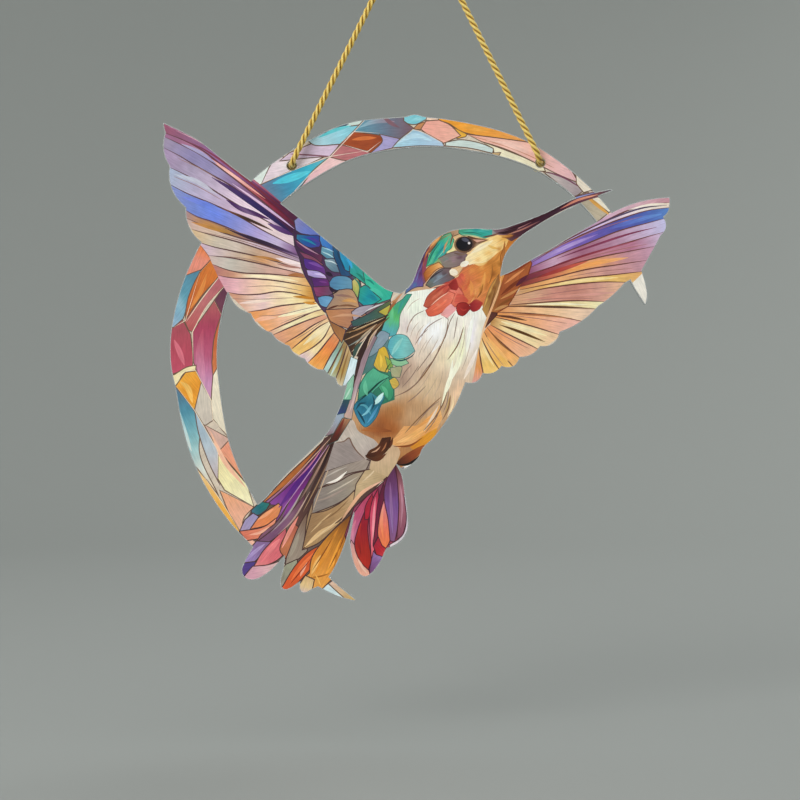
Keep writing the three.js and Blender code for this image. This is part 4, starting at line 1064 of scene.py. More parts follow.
    for text, colours in (
        ("-2.5,12.4 -1.6,13.4 -0.6,13.4 -1.8,11.4~ -2.9,9.4~ -3.1,7 -3.8,5.3 -5.2,5 -6.6,6.2 -5.3,9.5~ "
         "-4,11.3~",
         "3FA088 48A878 5FBF70 58B0A8 58A8B8"),
        ("-5,5.6 -6.6,6.2~ -8.6,3.4~ -10,0.6 -8.2,1.4~ -6.4,3~ -5.2,4.6", "8AA0B0 8A9CA8 708890"),
        ("-7.1,2.6 -6,3.1~ -5.2,1.5~ -4.8,-1 -5.4,-2.1 -7.2,-1.6~ -8.2,-0.6", "E0B83C D8B040 D0B050"),
        ("-5.9,1.2 -5,0.5 -4.1,0 -4.6,-1.7 -5.3,-1.4", "A0B048 78A050"),
        ("-4.9,0.7 -2.2,0.8~ -1.2,-0.2 -3.2,-0.9~ -4.5,-0.4", "88C090 98C8A0"),
        ("-4.9,-1.1 -2.6,-0.9~ -3,-3 -4.6,-2.9", "A8B088 B0A880"),
        ("-8.2,-1.1 -6.8,-2~ -5.1,-2.8~ -6,-4~ -8,-5.6~ -9,-7.2 -11.2,-7.4 -10.8,-4.5~ -9.6,-2.4~",
         "58B48C 4FA888 3F9070"),
        ("-5.3,-3 -4.4,-4.8~ -4.4,-7~ -5.2,-7.7 -6.2,-6.5~ -7.2,-4.9", "4FA87C 3F9A70 3A9068"),
        ("-5.1,-3.6 -4,-3~ -3.1,-4.4~ -4.2,-5.3~", "D0B850 D0A850"),
        ("-8.7,-5.9 -10.8,-7.1~ -12,-8.7~ -11.6,-10.5~ -9.8,-12.8~ -7.7,-11~ -6.8,-8.8~ -6,-6.6~ -7.2,-6.9",
         "3F8F98 1F6A80 2F7A98 3F88A8"),
        ("-5.5,2.9 -4.8,4.8~ -3.2,5.5~ -1.6,5.1~ -0.6,3.5~ 0,2.2 -1.8,0.9~ -4.2,0.8~",
         "58A8B8 6BC0C0 7FC4C0 78B4B4"),
        ("-7.4,4.9 -8.8,2~ -10.2,-2~ -11.4,-6~ -12.1,-9 -12.5,-11.4 -14.1,-10.8 -12.9,-7.2~ -12.1,-3.5~ "
         "-11.1,-0.2~ -10.1,3~ -8.6,5.6", "8A7078 9A8088 A88C94 B89AA0 C8A898"),
        ("-12.6,1.1 -10.9,0.3 -12.5,-4.4 -14.4,-5.2", "D8F0F4 E4F0F4 D8E8EC"),
        ("-12.1,-2.4 -11.8,-3.5 -12.6,-7.4 -14.6,-7.4 -14,-5", "98C0A8 8FC8A8 7AB898"),
        ("-14.6,-7.4 -12.8,-7.4 -13.7,-10 -16,-10.5", "2F5058 2F3F6A 3A4A80"),
        ("-16,-10.5 -13.9,-10 -14.1,-11.6 -16,-14 -17.6,-14.6", "9AA8B8 9A98A0 8A6A70"),
        ("-14.3,-11 -12.6,-11.2 -15.2,-15.4 -17.4,-16.4", "A87858 5A2A20 3A1810"),
    ):
        art.pane(text, colours, "2F5450", 0.11)
    for text, width, colours in (
        ("-5.2,9.3 -8,7.9~ -12,6.2~ -13.7,4.9", 0.95, "4A2C1A 2A1C12 3A2818"),
        ("-5,8.9 -7.6,6.6~ -9.8,3~ -10.8,0", 0.8, "5A3A20 3A2818 2A1A18"),
        ("-5.6,8.4 -9,6~ -12.4,2.6", 0.5, "8A6040 5A4030"),
        ("-6.4,7.6 -8.6,5~ -9.6,2.4", 0.3, "D8B890 C0A088"),
        ("-6,8.8 -9.6,7.2~ -13,5.8", 0.25, "E0C8A0"), ("-7.4,7.6 -10,5.4~ -11.8,3.4", 0.3, "C8B090"),
        ("-13.9,4.3 -11,5.6~ -7.4,7.6", 0.3, "C8A078 8A6040"),
        ("-13.2,3.1 -11,4.4~ -8,6.8", 0.3, "8A9A98 A89078"),
        ("-12.5,2 -10.6,4~ -8.4,6.4", 0.25, "D8C0A8"), ("-13.9,5.7 -11,6.5~ -8,7.9", 0.25, "A07850"),
        ("-8.4,6.4 -10.2,3~ -11.4,-1.4~ -12.2,-5", 0.75, "2A1A18 3A2220 4A3030"),
        ("-10.4,4 -11.4,2.8~ -12.2,0.8", 0.9, "3F5A50 3A5048"),
        ("-7.4,6.4 -8.4,4.6~ -9.2,2.6", 0.25, "B8A098"),
        ("-9.4,5.2 -11,2.6~ -12,0.4", 0.22, "E0D0B8"),
        ("-2.7,13.6 -4,11.8~ -5.4,9.6", 0.6, "C89A78 A86A40 8A4A28"),
        ("-2.4,13.7 -3.6,12.4~ -5,11.6", 0.4, "D8A080 B87848"),
        ("-11.2,-8.4 -9.8,-8.6~ -8.6,-10.4", 0.45, "58A0B0 4A98A8"),
        ("-10.6,-10.6 -9.6,-10~ -8.4,-8.2", 0.5, "8FD0DC 5FA8C0"),
        ("-9.4,-12 -8.4,-10.6~ -7.2,-8.6", 0.5, "5AA0C8 4A90B8"),
        ("-8.2,-8.4 -7.2,-7.4~ -6.2,-6", 1.0, "B8E4E0 D0F0EC"),
        ("-11.4,-9.4 -10.4,-11~ -9.8,-12.2", 0.4, "123F50"),
        ("-9.6,-8 -10.8,-8.2~ -11.7,-9.4", 0.35, "123F50"),
        ("-5.3,-3 -7,-4~ -9,-5.9~ -11.4,-8", 0.4, "0F3F38"), ("-8.4,-6.4 -8,-8~ -8.6,-9.6", 0.3, "123F50"),
        ("-9.8,-3.6 -9.8,-5.2~ -9.4,-6.6", 0.9, "68C09A"), ("-6.6,-4.6 -5.8,-5.6~ -5.4,-7", 0.7, "58B488"),
        ("-4.6,1.4 -3.4,3.4~ -2.4,4.8", 0.9, "8FD4D0 90D0C8"),
        ("-5.2,1 -3,0.3~ -0.6,1.2~ 0.1,2.2", 0.3, "1F4F50"),
        ("-4.8,-0.2 -5.4,-1~ -6,-2.2", 0.25, "3F5A28"), ("-6.9,1.6 -6.6,0.2~ -6.8,-1.2", 0.6, "F0C850"),
        ("-4.4,10.8 -4.6,9~ -5,6.8", 0.8, "70C884 58B890"), ("-2,12.6 -2.8,11~ -3.4,9.4", 0.5, "3FA090"),
        ("-12.6,-5 -13.2,-6.2~ -13.8,-7.2", 0.4, "B8E0C8"),
        ("-11.4,-4.4 -12,-7~ -12.9,-9.8", 0.4, "C8B0B4 D8BCB0"),
        ("-13.9,-11 -14.8,-13~ -16,-15", 0.6, "8A3A28 5A2018"),
    ):
        art.leaf(text, width, colours)


def draw_head(art):
    """The head: green crown, violet nape, grey cheek, red and pink gorget, gold throat, eye and bill."""
    art.pane("-1.4,13.8 -0.5,16.5~ 0.8,20~ 2,22.9~ 4.6,25.3~ 7.4,26.8~ 11,27~ 17,27 19,25 17.6,21~ "
             "17.4,17~ 16,13~ 14,10.6 12,11.6 9,13.4 4,14.6", "C8A080 D8B088 F0C890 F0C080", None)
    for text, colours, edge in (
        ("-2,13.4 -1,16.5 0.2,20 1.6,23 2.6,21.6~ 1.9,19~ 1.7,16~ 1.6,14.9 0,14.7~",
         "4F78A0 6A5A9C 6A3A72 5A2A48 7A3A40", "3A2A40"),
        ("1.7,20.4 2.7,20.7 2.2,18.5~ 2.9,17.5 1.8,15.4~ 1.4,17.4~", "8A4058 9A4858 7A5068", None),
        ("1.7,22 2.6,24 5.2,25.9 5.3,24.6 4,23~ 2.9,21.6", "7A4A48 C8884A D89858", "5A3A30"),
        ("5,25.2 6,26.6 9.2,27 8.8,25.3 7.4,24.7 6,25", "5A6A50 B08868 C8A888", "5A4A38"),
        ("2.2,18.8 2.8,21~ 4.3,23.2~ 5.4,24.8~ 7,25.5 7.7,24 7.4,22.8~ 6.2,21.5~ 4.6,20~",
         "58B888 3FAF8A 2FA0A0 3FAF8A 78B888", "2F7058"),
        ("8.8,27 11,27.2 14,27 15.8,26.4 15.5,25~ 13.7,24.4~ 11.5,24.9~ 9.2,25~ 8.6,25.5",
         "48A080 3FA58A 2FA090 3FA8A0", "2F7058"),
        ("15.3,26.8 17.4,27 18.2,25.6 16.8,25 15.2,25.1", "A0A8A0 8A7880 7A6068", None),
        ("6.1,21.6 7.2,22.4~ 7.6,23.6 8,22.4 7.4,21.4", "F0E8A8 F0DCA0", None),
        ("4.6,20.4 6.5,21.4~ 8.5,21.9~ 10.3,21.2 9.9,20.2 8.8,19.1~ 7,18.6~ 5.3,18.8~",
         "8A8478 8A7874 7A6068", "6A5048"),
        ("4.7,20.4 5.4,18.9~ 4.4,18.9 3.6,19.4", "88A870 A8A868", None),
        ("1.7,17.4 2.6,18.7~ 4.7,19.7 5.6,18.8 4.2,18.2~ 2.8,16.7 2.1,15.8", "A85A28 D89048 F0B878",
         "8A4A20"),
        ("2.1,15.2 3.4,17~ 5.2,18.4~ 7.1,18.5 6.8,17.2~ 7.8,16.7~ 5.8,15.3~ 3.4,14.6~",
         "6A6A58 707880 6A6068 7A5A58", "4A3A38"),
        ("2.4,11.4 4,10.3 6,10.1 8.2,10.8 10.8,11.2 12.4,11.9 12.6,12.6 10,13.8 9.9,17.4 8,16.6 4.5,14.8",
         "C05844 B84A40", None),
        ("9.5,18.8 11.5,19.8~ 13.5,21~ 15.8,22.6 18.4,25.4 20.6,25.4 19.4,20 17.7,17.4 16.6,14.4 15,13~ "
         "13.6,11 12.4,11.8~ 10.4,11.5 9.8,13~ 9,15~ 8.5,16.8", "D87848 D8863C DE9648 C87A30 B8702C", None),
        ("10,20.6 12,22.6~ 13.6,24.2~ 17.2,25.3 18.9,25.2 17.8,22.6 16,21.3~ 14,19.7~ 12.2,19.4~ "
         "10.7,19.1 9.9,19.8",
         "FBE6B8 FBE0A0 F8D490 F0B860", None),
        ("10.2,25 12,24.5~ 14.6,24.1 12.8,23.3~ 11.4,22.4 11,23.6", "5A3A28 6A4430 8A5A38", None),
        ("11.3,24.2 13.9,24.05 12.2,23.6", "D8A088 E0B098", None),
        ("1.7,11.1 2.5,13~ 4.5,14.7~ 6.6,15.8~ 7.1,15.2 6.2,13.8~ 4.4,12.2~ 2.5,10.7~",
         "B85840 C0563E C85044", "A83A30"),
        ("6.3,13.7 8.2,14.9~ 9.4,13.6 8.9,12.1~ 8,11 7.2,11.4 6.7,12", "E88070 E07860 D86850", None),
        ("2.1,10.2 4.4,12.1~ 6.6,14 7.9,13.5 7.2,11.7~ 6,10.3~ 4.6,9.4~ 2.7,9.1~",
         "D86048 E06A4C E07058 E88068", "B84434"),
        ("6.5,15.2 8,16.4~ 8.9,15.3 8.2,14.1 7.1,14.3", "8A2420 9A2A28 A83430", None),
        ("8.1,16.4 9.3,17.6~ 10,16 9.3,14.5 8.6,14.9", "C85844 D0604A D87040", None),
        ("7.7,11.8 8.4,13.5~ 9.7,13.1 10.6,12.1 9.8,11.2 8.5,11.1", "D86050 D05A48 C84A38", None),
        ("8.1,10.5 8.5,11.5~ 10,11.7~ 11,10.7 10.2,9.7 9.4,9.1~ 8.5,9.4", "B03430 9A2420 8A1C1C", "7A1818"),
        ("10.8,11.5 12,12.4~ 13.4,11.7 12.7,10.4~ 11.4,9.9~ 10.8,10.4", "8A1C24 A83030 B83C34", None),
        ("5,9.3 6.2,10.8~ 7.1,11.5 8.2,10.4 7.3,9.5~ 6.4,8.7", "E8A098 F4B0B0 F0A8A8", None),
        ("13.2,10.4 14.8,15~ 16.6,17.5 16.6,14~ 15.5,11~ 14.2,8.6", "B88848 9A6A38 A87844 7A4A2C", None),
        ("15,26.2 17.4,27.2 20,28.2 25,30~ 30,32.1~ 34,33.3~ 37,33.9 40,35 40,33.1 37,32.7 34,31.9~ "
         "30,30.3~ 25,27.6~ 20.8,24.8 19,23.8 16.6,25",
         "8A7078 4A2430 3A1828 3A1C2C 5A3040 7A4A50 2A3048", None),
    ):
        art.pane(text, colours, edge, 0.15)
    art.wash(5.2, 22.8, 2.4, 2.4, 0, "28A0A8", 0.8)
    art.wash(12.6, 14.2, 5, 6, 0, "E8A058", 0.7)
    art.wash(15.6, 18.5, 3, 6, 10, "B8702A", 0.7)
    for text, width, colours in (
        ("15.4,26.1 19,27~ 24,29~ 30,31.8~ 38.8,34.2", 0.35, "9A98B8 8088B8 7A88C0 9098C8 5A6890"),
        ("17.5,25.9 22,27.3~ 27,29.8~ 31,31.6", 0.5, "2A0C18 3A0F20 2A1020"),
        ("18.4,25.2 21,26.1~ 24.6,27.8", 0.3, "C89078 A86A60 7A4A50"),
        ("17.8,25.5 20,26.2~ 23,27.6", 0.2, "C8A098 8A5058"),
        ("28.6,30.2 32,31.9~ 36,33", 0.45, "B86A60 E89878 F0A888"),
        ("30.6,31.4 33,32.2~ 35,32.7", 0.4, "C87868 E8A080"),
        ("16.4,25 18,24.8~ 19.4,25", 0.4, "D8A058 B87838"),
        ("17.7,23.9 17.4,21~ 16.8,18", 0.6, "A8682A B8743C"),
        ("16.9,22 16.3,20.6~ 15.2,19.6", 0.4, "C88038"),
        ("14.2,23.2 15.2,22.6~ 16.4,22.4", 0.5, "F8D080 E8B050"),
        ("11,21.4 13,22.6~ 15.4,24", 0.9, "FCECC8 FCE8B8"),
        ("11.6,19.4 13,19.2~ 14.4,19.8", 0.5, "F4CC88 F0C070"),
        ("10.4,16.6 11.2,15~ 11,13", 0.7, "E08C48 E89850"),
        ("13.8,17.8 13.4,15.4~ 12.6,13", 0.7, "E8A458 D88C40"),
        ("3.1,11.1 4.8,12.6~ 6.6,13.8", 0.22, "FBC8B0"), ("4.2,13.8 5.4,14.7~ 6.6,15.3", 0.3, "A83A34"),
        ("3.2,12.2 4.4,13.2~ 5.6,14.4", 0.5, "D06A50"), ("3.4,10.2 4.8,11~ 6.4,12.4", 0.5, "F07A5A"),
        ("8.8,10.8 9.4,10.2~ 10.2,10.4", 0.3, "B83830"),
        ("3.6,15.6 4.8,16.6~ 6.4,17.4", 0.5, "8A94A0 707880"),
        ("3,16.2 4.2,17.4~ 5.6,18.1", 0.3, "5A5450"), ("5.6,19.6 7.4,20.6~ 9.6,20.6", 0.5, "9A8A88 8A6A70"),
        ("3.2,20 4.2,21.8~ 5.2,23.6", 0.6, "58C898 38B0A0"),
        ("9.6,25.7 12,25.9~ 14.8,25.5", 0.5, "58C0A0 38A8A8"),
        ("9.6,26.3 12,26.5~ 14.6,26.1", 0.3, "2A7A68"), ("9.2,25.1 11.4,24.9~ 13.6,24.4", 0.25, "B8D0A0"),
        ("2.9,22.6 3.8,23.6~ 4.9,24.6", 0.4, "E8A868"), ("0.2,16 0.9,18~ 1.8,20.4", 0.4, "6A80B8 8A4A78"),
        ("1.5,18.6 2.1,21~ 3.4,23.2", 0.35, "A85A38 D8884A"),
        ("0.9,18.2 1.8,21~ 3,23.6", 0.3, "2A3A78 5A2A50"), ("3,24 4.4,25.2~ 6,26.1", 0.35, "8A4A38 C88A58"),
        ("13.2,24.6 15.4,25~ 17,25.6", 0.35, "5A3A30 8A5A48"),
        ("10.6,21.9 9.4,21.2~ 7.4,21.6", 0.4, "8A7060 6A5048"),
        ("17.1,17.2 16.5,14.4~ 15.2,11~ 13.6,6.8~ 12.6,3", 0.45, "F0BC88 E8B080 F0D0A8"),
        ("13.6,10.8 14.8,14~ 16.2,16.8", 0.4, "D8A85C C89048"),
        ("17,18.6 16.9,21~ 17.9,23.4", 0.25, "8A4E1C A86428"),
        ("9.8,14.2 10.6,15.6~ 10.6,17.2", 0.4, "B84A28 D87A48"),
        ("12.2,12.6 13,13.8~ 13.4,15.4", 0.35, "8A5020 A86A30"),
        ("11,11.8 11.8,13~ 12,14.6", 0.35, "F0B070 E09850"),
        ("14.6,15.4 15.2,17.2~ 15.2,19.4", 0.3, "8A5420 B07030"),
        ("14.4,9.6 15.2,12~ 16,15", 0.35, "7A4A24 8A5A30"),
        ("2.4,19 3.4,21.4~ 5,23.6", 0.3, "1F6A58 2A7A68"),
        ("3.4,19.2 4.6,21.4~ 6.4,23.6", 0.25, "2A8A88 1F7A80"),
        ("4,23.2 5.4,24.4~ 7,25.2", 0.3, "2A7A60 A8885A"),
        ("4.2,20.2 5.6,21.9~ 7,23.6", 0.2, "8AD8B0 78C8A8"),
        ("10.4,26.6 12.8,26.2~ 15,25.9", 0.2, "88D8C0 70C0B0"),
        ("9.2,25.6 11.6,25.5~ 13.4,25", 0.2, "1F6A60 2A7A70"),
        ("5.6,21.4 6,23~ 6.8,24.6", 0.35, "C88A58 D8A070"),
        ("6.9,22.8 7.2,24.2~ 7.6,25.4", 0.3, "6A4A40 8A5A48"),
        ("2.2,15.6 3.8,17.1~ 5.6,18.2", 0.25, "3A3038"),
        ("16.2,25.4 18.2,25.6~ 20.4,26.4", 0.6, "2A0E18 3A1820"),
        ("17,24.6 18.8,24.6~ 20.6,25.6", 0.35, "6A3A28 4A2028"),
        ("2.6,14.3 4.4,15~ 6,15.4", 0.25, "E8B898"), ("8.4,17 9.6,18.4~ 11.6,19.4", 0.3, "B8704A"),
    ):
        art.leaf(text, width, colours)
    for x, z, across, turn, colour in (
        (11.2, 17.8, 1.6, 20, "E8A050"), (13, 18.6, 1.4, 40, "EBA858"), (14.6, 19.6, 1.5, 30, "C07830"),
        (16.6, 22.3, 1.6, 60, "C88434"),
        (12.2, 16.2, 1.3, 10, "B86A2C"), (13.8, 16.8, 1.3, 60, "E09848"), (15.4, 17.4, 1.6, 80, "9A5A24"),
        (16.8, 19.4, 1.5, 80, "A86828"),
        (11, 14.8, 1.5, 0, "E89A50"), (12.8, 14.4, 1.2, 30, "C27A34"), (14.2, 15, 1.3, 60, "A86226"),
        (15.6, 14.6, 1.6, 70, "8A5220"),
        (11.6, 12.9, 1.3, 0, "CC7038"), (13.4, 12.9, 1.3, 20, "9A5824"), (14.6, 13, 1.2, 60, "7F4A1E"),
        (9.8, 16.6, 1.5, 80, "E07048"),
        (9.9, 14.6, 1.6, 80, "D86444"), (17.4, 24.2, 1.8, 30, "D89A40"), (14.4, 21.4, 1.7, 30, "F0BC68"),
        (12.4, 20.2, 1.8, 20, "F4C880"),
        (16.2, 24.4, 1.6, 20, "F2C878"), (12.6, 22.6, 2.4, 40, "FCEBC4"), (18.6, 24.9, 1.6, 20, "B87834"),
    ):
        art.wash(x, z, across * 1.4, across * 0.8, turn, colour, 1.0)
    for x, z, across, turn, colour in (
        (3.4, 16.2, 1.3, 30, "5A7A80"), (4.8, 17, 1.2, 30, "8AA0B0"), (5.8, 17.3, 1, 30, "5A4A50"),
        (6, 20.4, 1.3, 20, "5A8A88"),
        (7.4, 20, 1.2, 20, "9A7A88"), (8.8, 20.6, 1.2, 20, "5A3A48"), (1, 17.4, 1.5, 70, "5A3058"),
        (1.6, 20.2, 1.6, 70, "5A2440"),
        (2.5, 22.3, 1.3, 50, "6A2E3A"), (0, 15.2, 1.4, 60, "4A78A8"), (12, 26.1, 2, 0, "1F8A88"),
        (4.4, 21.6, 1.4, 60, "2A9A78"),
        (6.2, 24, 1.5, 50, "48B898"), (3.3, 19.9, 1.2, 60, "6ABFA0"),
    ):
        art.wash(x, z, across * 1.4, across * 0.7, turn, colour, 1.0)
    for x, z, turn in ((3.6, 12.9, 40), (5.2, 13.6, 35), (4.6, 11.2, 30), (6, 12.2, 40), (3.2, 10.7, 20),
                       (7.6, 12.7, 60)):
        art.wash(x, z, 1.2, 0.7, turn, "F8A080", 0.6)
    art.spot(7.6, 17.7, 1.7, 1.3, -20, "FBEFD8 F8E8D0")
    art.spot(9.75, 19.35, 1.8, 1.1, 25, "FBEFD8 FFF8E8")
    art.spot(9.65, 23.15, 3.9, 3.3, 0, "8A6A48 6A4A38 5A4038")
    art.spot(9.7, 23.25, 3.3, 2.8, 0, "1A1214 241A1A")
    art.spot(9.35, 23.2, 2.2, 2, 0, "0A0A10 12121C")
    art.spot(9.9, 24.1, 1.5, 0.75, -15, "4A4A58 5A5A68")
    art.spot(10.65, 23.45, 0.5, 0.5, 0, "F0E8E8")


def make_drawing():
    """The whole print, from the moon behind to the head in front."""
    art = Drawing()
    art.pane(SHEET_OUTLINE, SHEET_COLOUR, None)
    for draw in (draw_moon_top, draw_moon_shoulder, draw_moon_side, draw_left_wing, draw_right_wing,
                 draw_tail, draw_left_coverts, draw_body, draw_head):
        art.begin()
        draw(art)
    return art


# The film of ink

def plate_rings():
    """The outlines of the plate's front face, in drawing units, with the plate on their left."""
    mesh = PLATE.data
    places = np.zeros(len(mesh.vertices) * 3)
    mesh.vertices.foreach_get("co", places)
    places = places.reshape(-1, 3)
    corners = np.zeros(len(mesh.polygons) * 3, int)
    mesh.polygons.foreach_get("vertices", corners)
    corners = corners.reshape(-1, 3)
    in_front = (places[corners][:, :, 1] < PLATE_FRONT + FRONT_TOLERANCE).all(1)
    keys = [tuple(place) for place in np.round(places[:, [0, 2]] / READING_STEP).astype(int)]
    after = {}
    sides = set()
    for a, b, c in corners[in_front]:
        sides.update(((keys[a], keys[b]), (keys[b], keys[c]), (keys[c], keys[a])))
    for a, b in sides:
        if (b, a) not in sides:
            after[a] = b
    rings = []
    while after:
        start, here = after.popitem()
        ring = [start]
        while here != start:
            ring.append(here)
            here = after.pop(here)
        rings.append(np.array(ring) * READING_STEP)
    return [(ring - (MOON_X, MOON_Z)) / UNIT for ring in rings]


def inside(points, loops):
    """Which points lie inside the loops, counted even and odd."""
    x, z = points.T
    within = np.zeros(len(points), bool)
    for loop in loops:
        for (ax, az), (bx, bz) in zip(loop, np.roll(loop, -1, 0)):
            crossed = (az > z) != (bz > z)
            if crossed.any():
                within ^= crossed & (x < ax + (z - az) / (bz - az + FLATTEST) * (bx - ax))
    return within


def distance_to(points, loops):
    """The points' distance from the nearest side of the loops."""
    nearest = np.full(len(points), np.inf)
    for loop in loops:
        for a, b in zip(loop, np.roll(loop, -1, 0)):
            side = b - a
            share = np.clip((points - a) @ side / max(side @ side, SHORTEST_SQUARE), 0, 1)
            nearest = np.minimum(nearest, ((points - a - share[:, None] * side) ** 2).sum(1))
    return np.sqrt(nearest)


def grid_points(rings):
    """Staggered points over the plate, so that colours can change softly inside a patch."""
    low = np.vstack(rings).min(0)
    high = np.vstack(rings).max(0)
    rows = np.arange(low[1], high[1], GRID_STEP * math.sqrt(3) / 2)
    made = []
    for i, z in enumerate(rows):
        xs = np.arange(low[0] + (i % 2) * GRID_STEP / 2, high[0], GRID_STEP)
        made.append(np.column_stack([xs, np.full(len(xs), z)]))
    made = np.vstack(made)
    return made[inside(made, rings)]


def cut_triangles(drawing, rings, margin):
    """Parts the printed area into triangles along every patch's edge."""
    points = [grid_points(rings)]
    edges = []
    count = len(points[0])
    loops = [beside(ring, margin, True) for ring in rings]
    for patch in drawing.patches:
        loops.extend(patch["loops"])
    for loop in loops:
        numbers = np.arange(len(loop)) + count
        edges.extend(zip(numbers.tolist(), np.roll(numbers, -1).tolist()))
        points.append(loop)
        count += len(loop)
    flat = [Vector(point) for point in np.vstack(points)]
    made = delaunay_2d_cdt(flat, edges, [], 0, MERGE_DISTANCE, False)
    places = np.array([tuple(vertex) for vertex in made[0]])
    corners = np.array([face for face in made[2] if len(face) == 3])
    centres = places[corners].mean(1)
    kept = inside(centres, rings)
    corners = corners[kept]
    centres = centres[kept]
    kept = distance_to(centres, rings) > KEPT_MARGIN * margin
    return places, corners[kept], centres[kept]


def patch_of_each(drawing, centres):
    """The number of the topmost patch over each triangle."""
    found = np.zeros(len(centres), int)
    for number, patch in enumerate(drawing.patches):
        near = ((centres > patch["low"]) & (centres < patch["high"])).all(1).nonzero()[0]
        if len(near):
            found[near[inside(centres[near], patch["loops"])]] = number
    return found


def paint(drawing, places, corners, patch_numbers):
    """The colour of each triangle's corner, and where it lies along and across its patch."""
    spots = places[corners]
    colours = np.zeros(spots.shape[:2] + (3,))
    along_across = np.zeros(spots.shape[:2] + (2,))
    for number in np.unique(patch_numbers):
        patch = drawing.patches[number]
        chosen = patch_numbers == number
        axis = patch["end"] - patch["start"]
        length = max(np.linalg.norm(axis), SHORTEST_AXIS)
        axis = axis / length
        place = spots[chosen] - patch["start"]
        along = place @ axis
        across = place @ np.array([-axis[1], axis[0]])
        stops = patch["colours"]
        at = np.clip(along / length, 0, 1) * (len(stops) - 1)
        left = np.minimum(at.astype(int), max(len(stops) - 2, 0))
        right = np.minimum(left + 1, len(stops) - 1)
        share = (at - left)[..., None]
        colours[chosen] = stops[left] * (1 - share) + stops[right] * share
        shift_along, shift_across = STREAK_SHIFT
        along_across[chosen] = np.stack([along + shift_along * number, across + shift_across * number], -1)
    for wash in drawing.washes:
        place = spots - wash["centre"]
        c = math.cos(wash["turn"])
        s = math.sin(wash["turn"])
        x = (place[..., 0] * c + place[..., 1] * s) / wash["size"][0]
        z = (place[..., 1] * c - place[..., 0] * s) / wash["size"][1]
        share = np.clip(1 - np.sqrt(x * x + z * z), 0, 1)
        share = share * share * (3 - 2 * share) * wash["strength"]
        share *= ((patch_numbers >= wash["first"]) & (patch_numbers < wash["last"]))[:, None]
        colours = colours * (1 - share[..., None]) + np.array(wash["colour"]) * share[..., None]
    return to_linear(colours), along_across


def film_mesh(drawing, ink):
    """The film as a closed sheet: its front, its back and its rim."""
    rings = plate_rings()
    places, corners, centres = cut_triangles(drawing, rings, ink.margin / UNIT)
    colours, along_across = paint(drawing, places, corners, patch_of_each(drawing, centres))
    used, corners = np.unique(corners, return_inverse=True)
    corners = corners.reshape(-1, 3)
    places = places[used]
    count = len(places)
    back = PLATE_FRONT - ink.gap
    sheet = np.zeros((count * 2, 3))
    sheet[:, 0] = np.tile(places[:, 0], 2) * UNIT + MOON_X
    sheet[:, 2] = np.tile(places[:, 1], 2) * UNIT + MOON_Z
    sheet[:count, 1] = back - ink.thickness
    sheet[count:, 1] = back
    sides = {}
    for number, (a, b, c) in enumerate(corners.tolist()):
        for corner, side in enumerate(((a, b), (b, c), (c, a))):
            sides[side] = (number, corner)
    rim = [(a, b, *place) for (a, b), place in sides.items() if (b, a) not in sides]
    faces = corners.tolist() + (corners[:, ::-1] + count).tolist()
    faces += [[a, a + count, b + count, b] for a, b, _, _ in rim]
    mesh = bpy.data.meshes.new("suncatcher_print")
    mesh.from_pydata(sheet.tolist(), [], faces)
    ends = [((number, corner), (number, (corner + 1) % 3)) for _, _, number, corner in rim]
    rim_corners = [place for a, b in ends for place in (a, a, b, b)]
    picked = tuple(np.array(rim_corners).T)
    values = np.vstack([colours.reshape(-1, 3), colours[:, ::-1].reshape(-1, 3), colours[picked]])
    attribute = mesh.color_attributes.new("Ink", "FLOAT_COLOR", "CORNER")
    solid = np.column_stack([values, np.ones(len(values))]).astype(np.float32)
    attribute.data.foreach_set("color", solid.ravel())
    both_sides = (along_across.reshape(-1, 2), along_across[:, ::-1].reshape(-1, 2))
    streaks = np.vstack([*both_sides, along_across[picked]])
    mesh.uv_layers.new(name="Feathers").data.foreach_set("uv", streaks.astype(np.float32).ravel())
    flat = np.zeros((len(mesh.loops), 2), np.float32)
    numbers = np.zeros(len(mesh.loops), int)
    mesh.loops.foreach_get("vertex_index", numbers)
    flat[:, 0] = sheet[numbers, 0]
    flat[:, 1] = sheet[numbers, 2]
    low = flat.min(0)
    flat = (flat - low) / (flat.max(0) - low).max()
    mesh.uv_layers.new(name="OFBake").data.foreach_set("uv", flat.ravel())
    mesh.validate()
    return mesh


# Cord

def even_steps(line, step):
    """The line again, with its points the same length apart."""
    lengths = np.concatenate([[0], np.cumsum(np.linalg.norm(np.diff(line, axis=0), axis=1))])
    places = np.linspace(0, lengths[-1], max(2, round(lengths[-1] / step) + 1))
    return np.column_stack([np.interp(places, lengths, line[:, i]) for i in range(3)])


def carried_frame(line):
    """Two directions across the line at each point, carried along it without turning."""
    ahead = np.gradient(line, axis=0)
    ahead /= np.linalg.norm(ahead, axis=1, keepdims=True)
    side = np.cross(ahead[0], (0, 0, 1) if abs(ahead[0][2]) < NEARLY_UPRIGHT else (1, 0, 0))
    sides = []
    for direction in ahead:
        side = side - direction * (side @ direction)
        side = side / np.linalg.norm(side)
        sides.append(side)
    sides = np.array(sides)
    return sides, np.cross(ahead, sides)


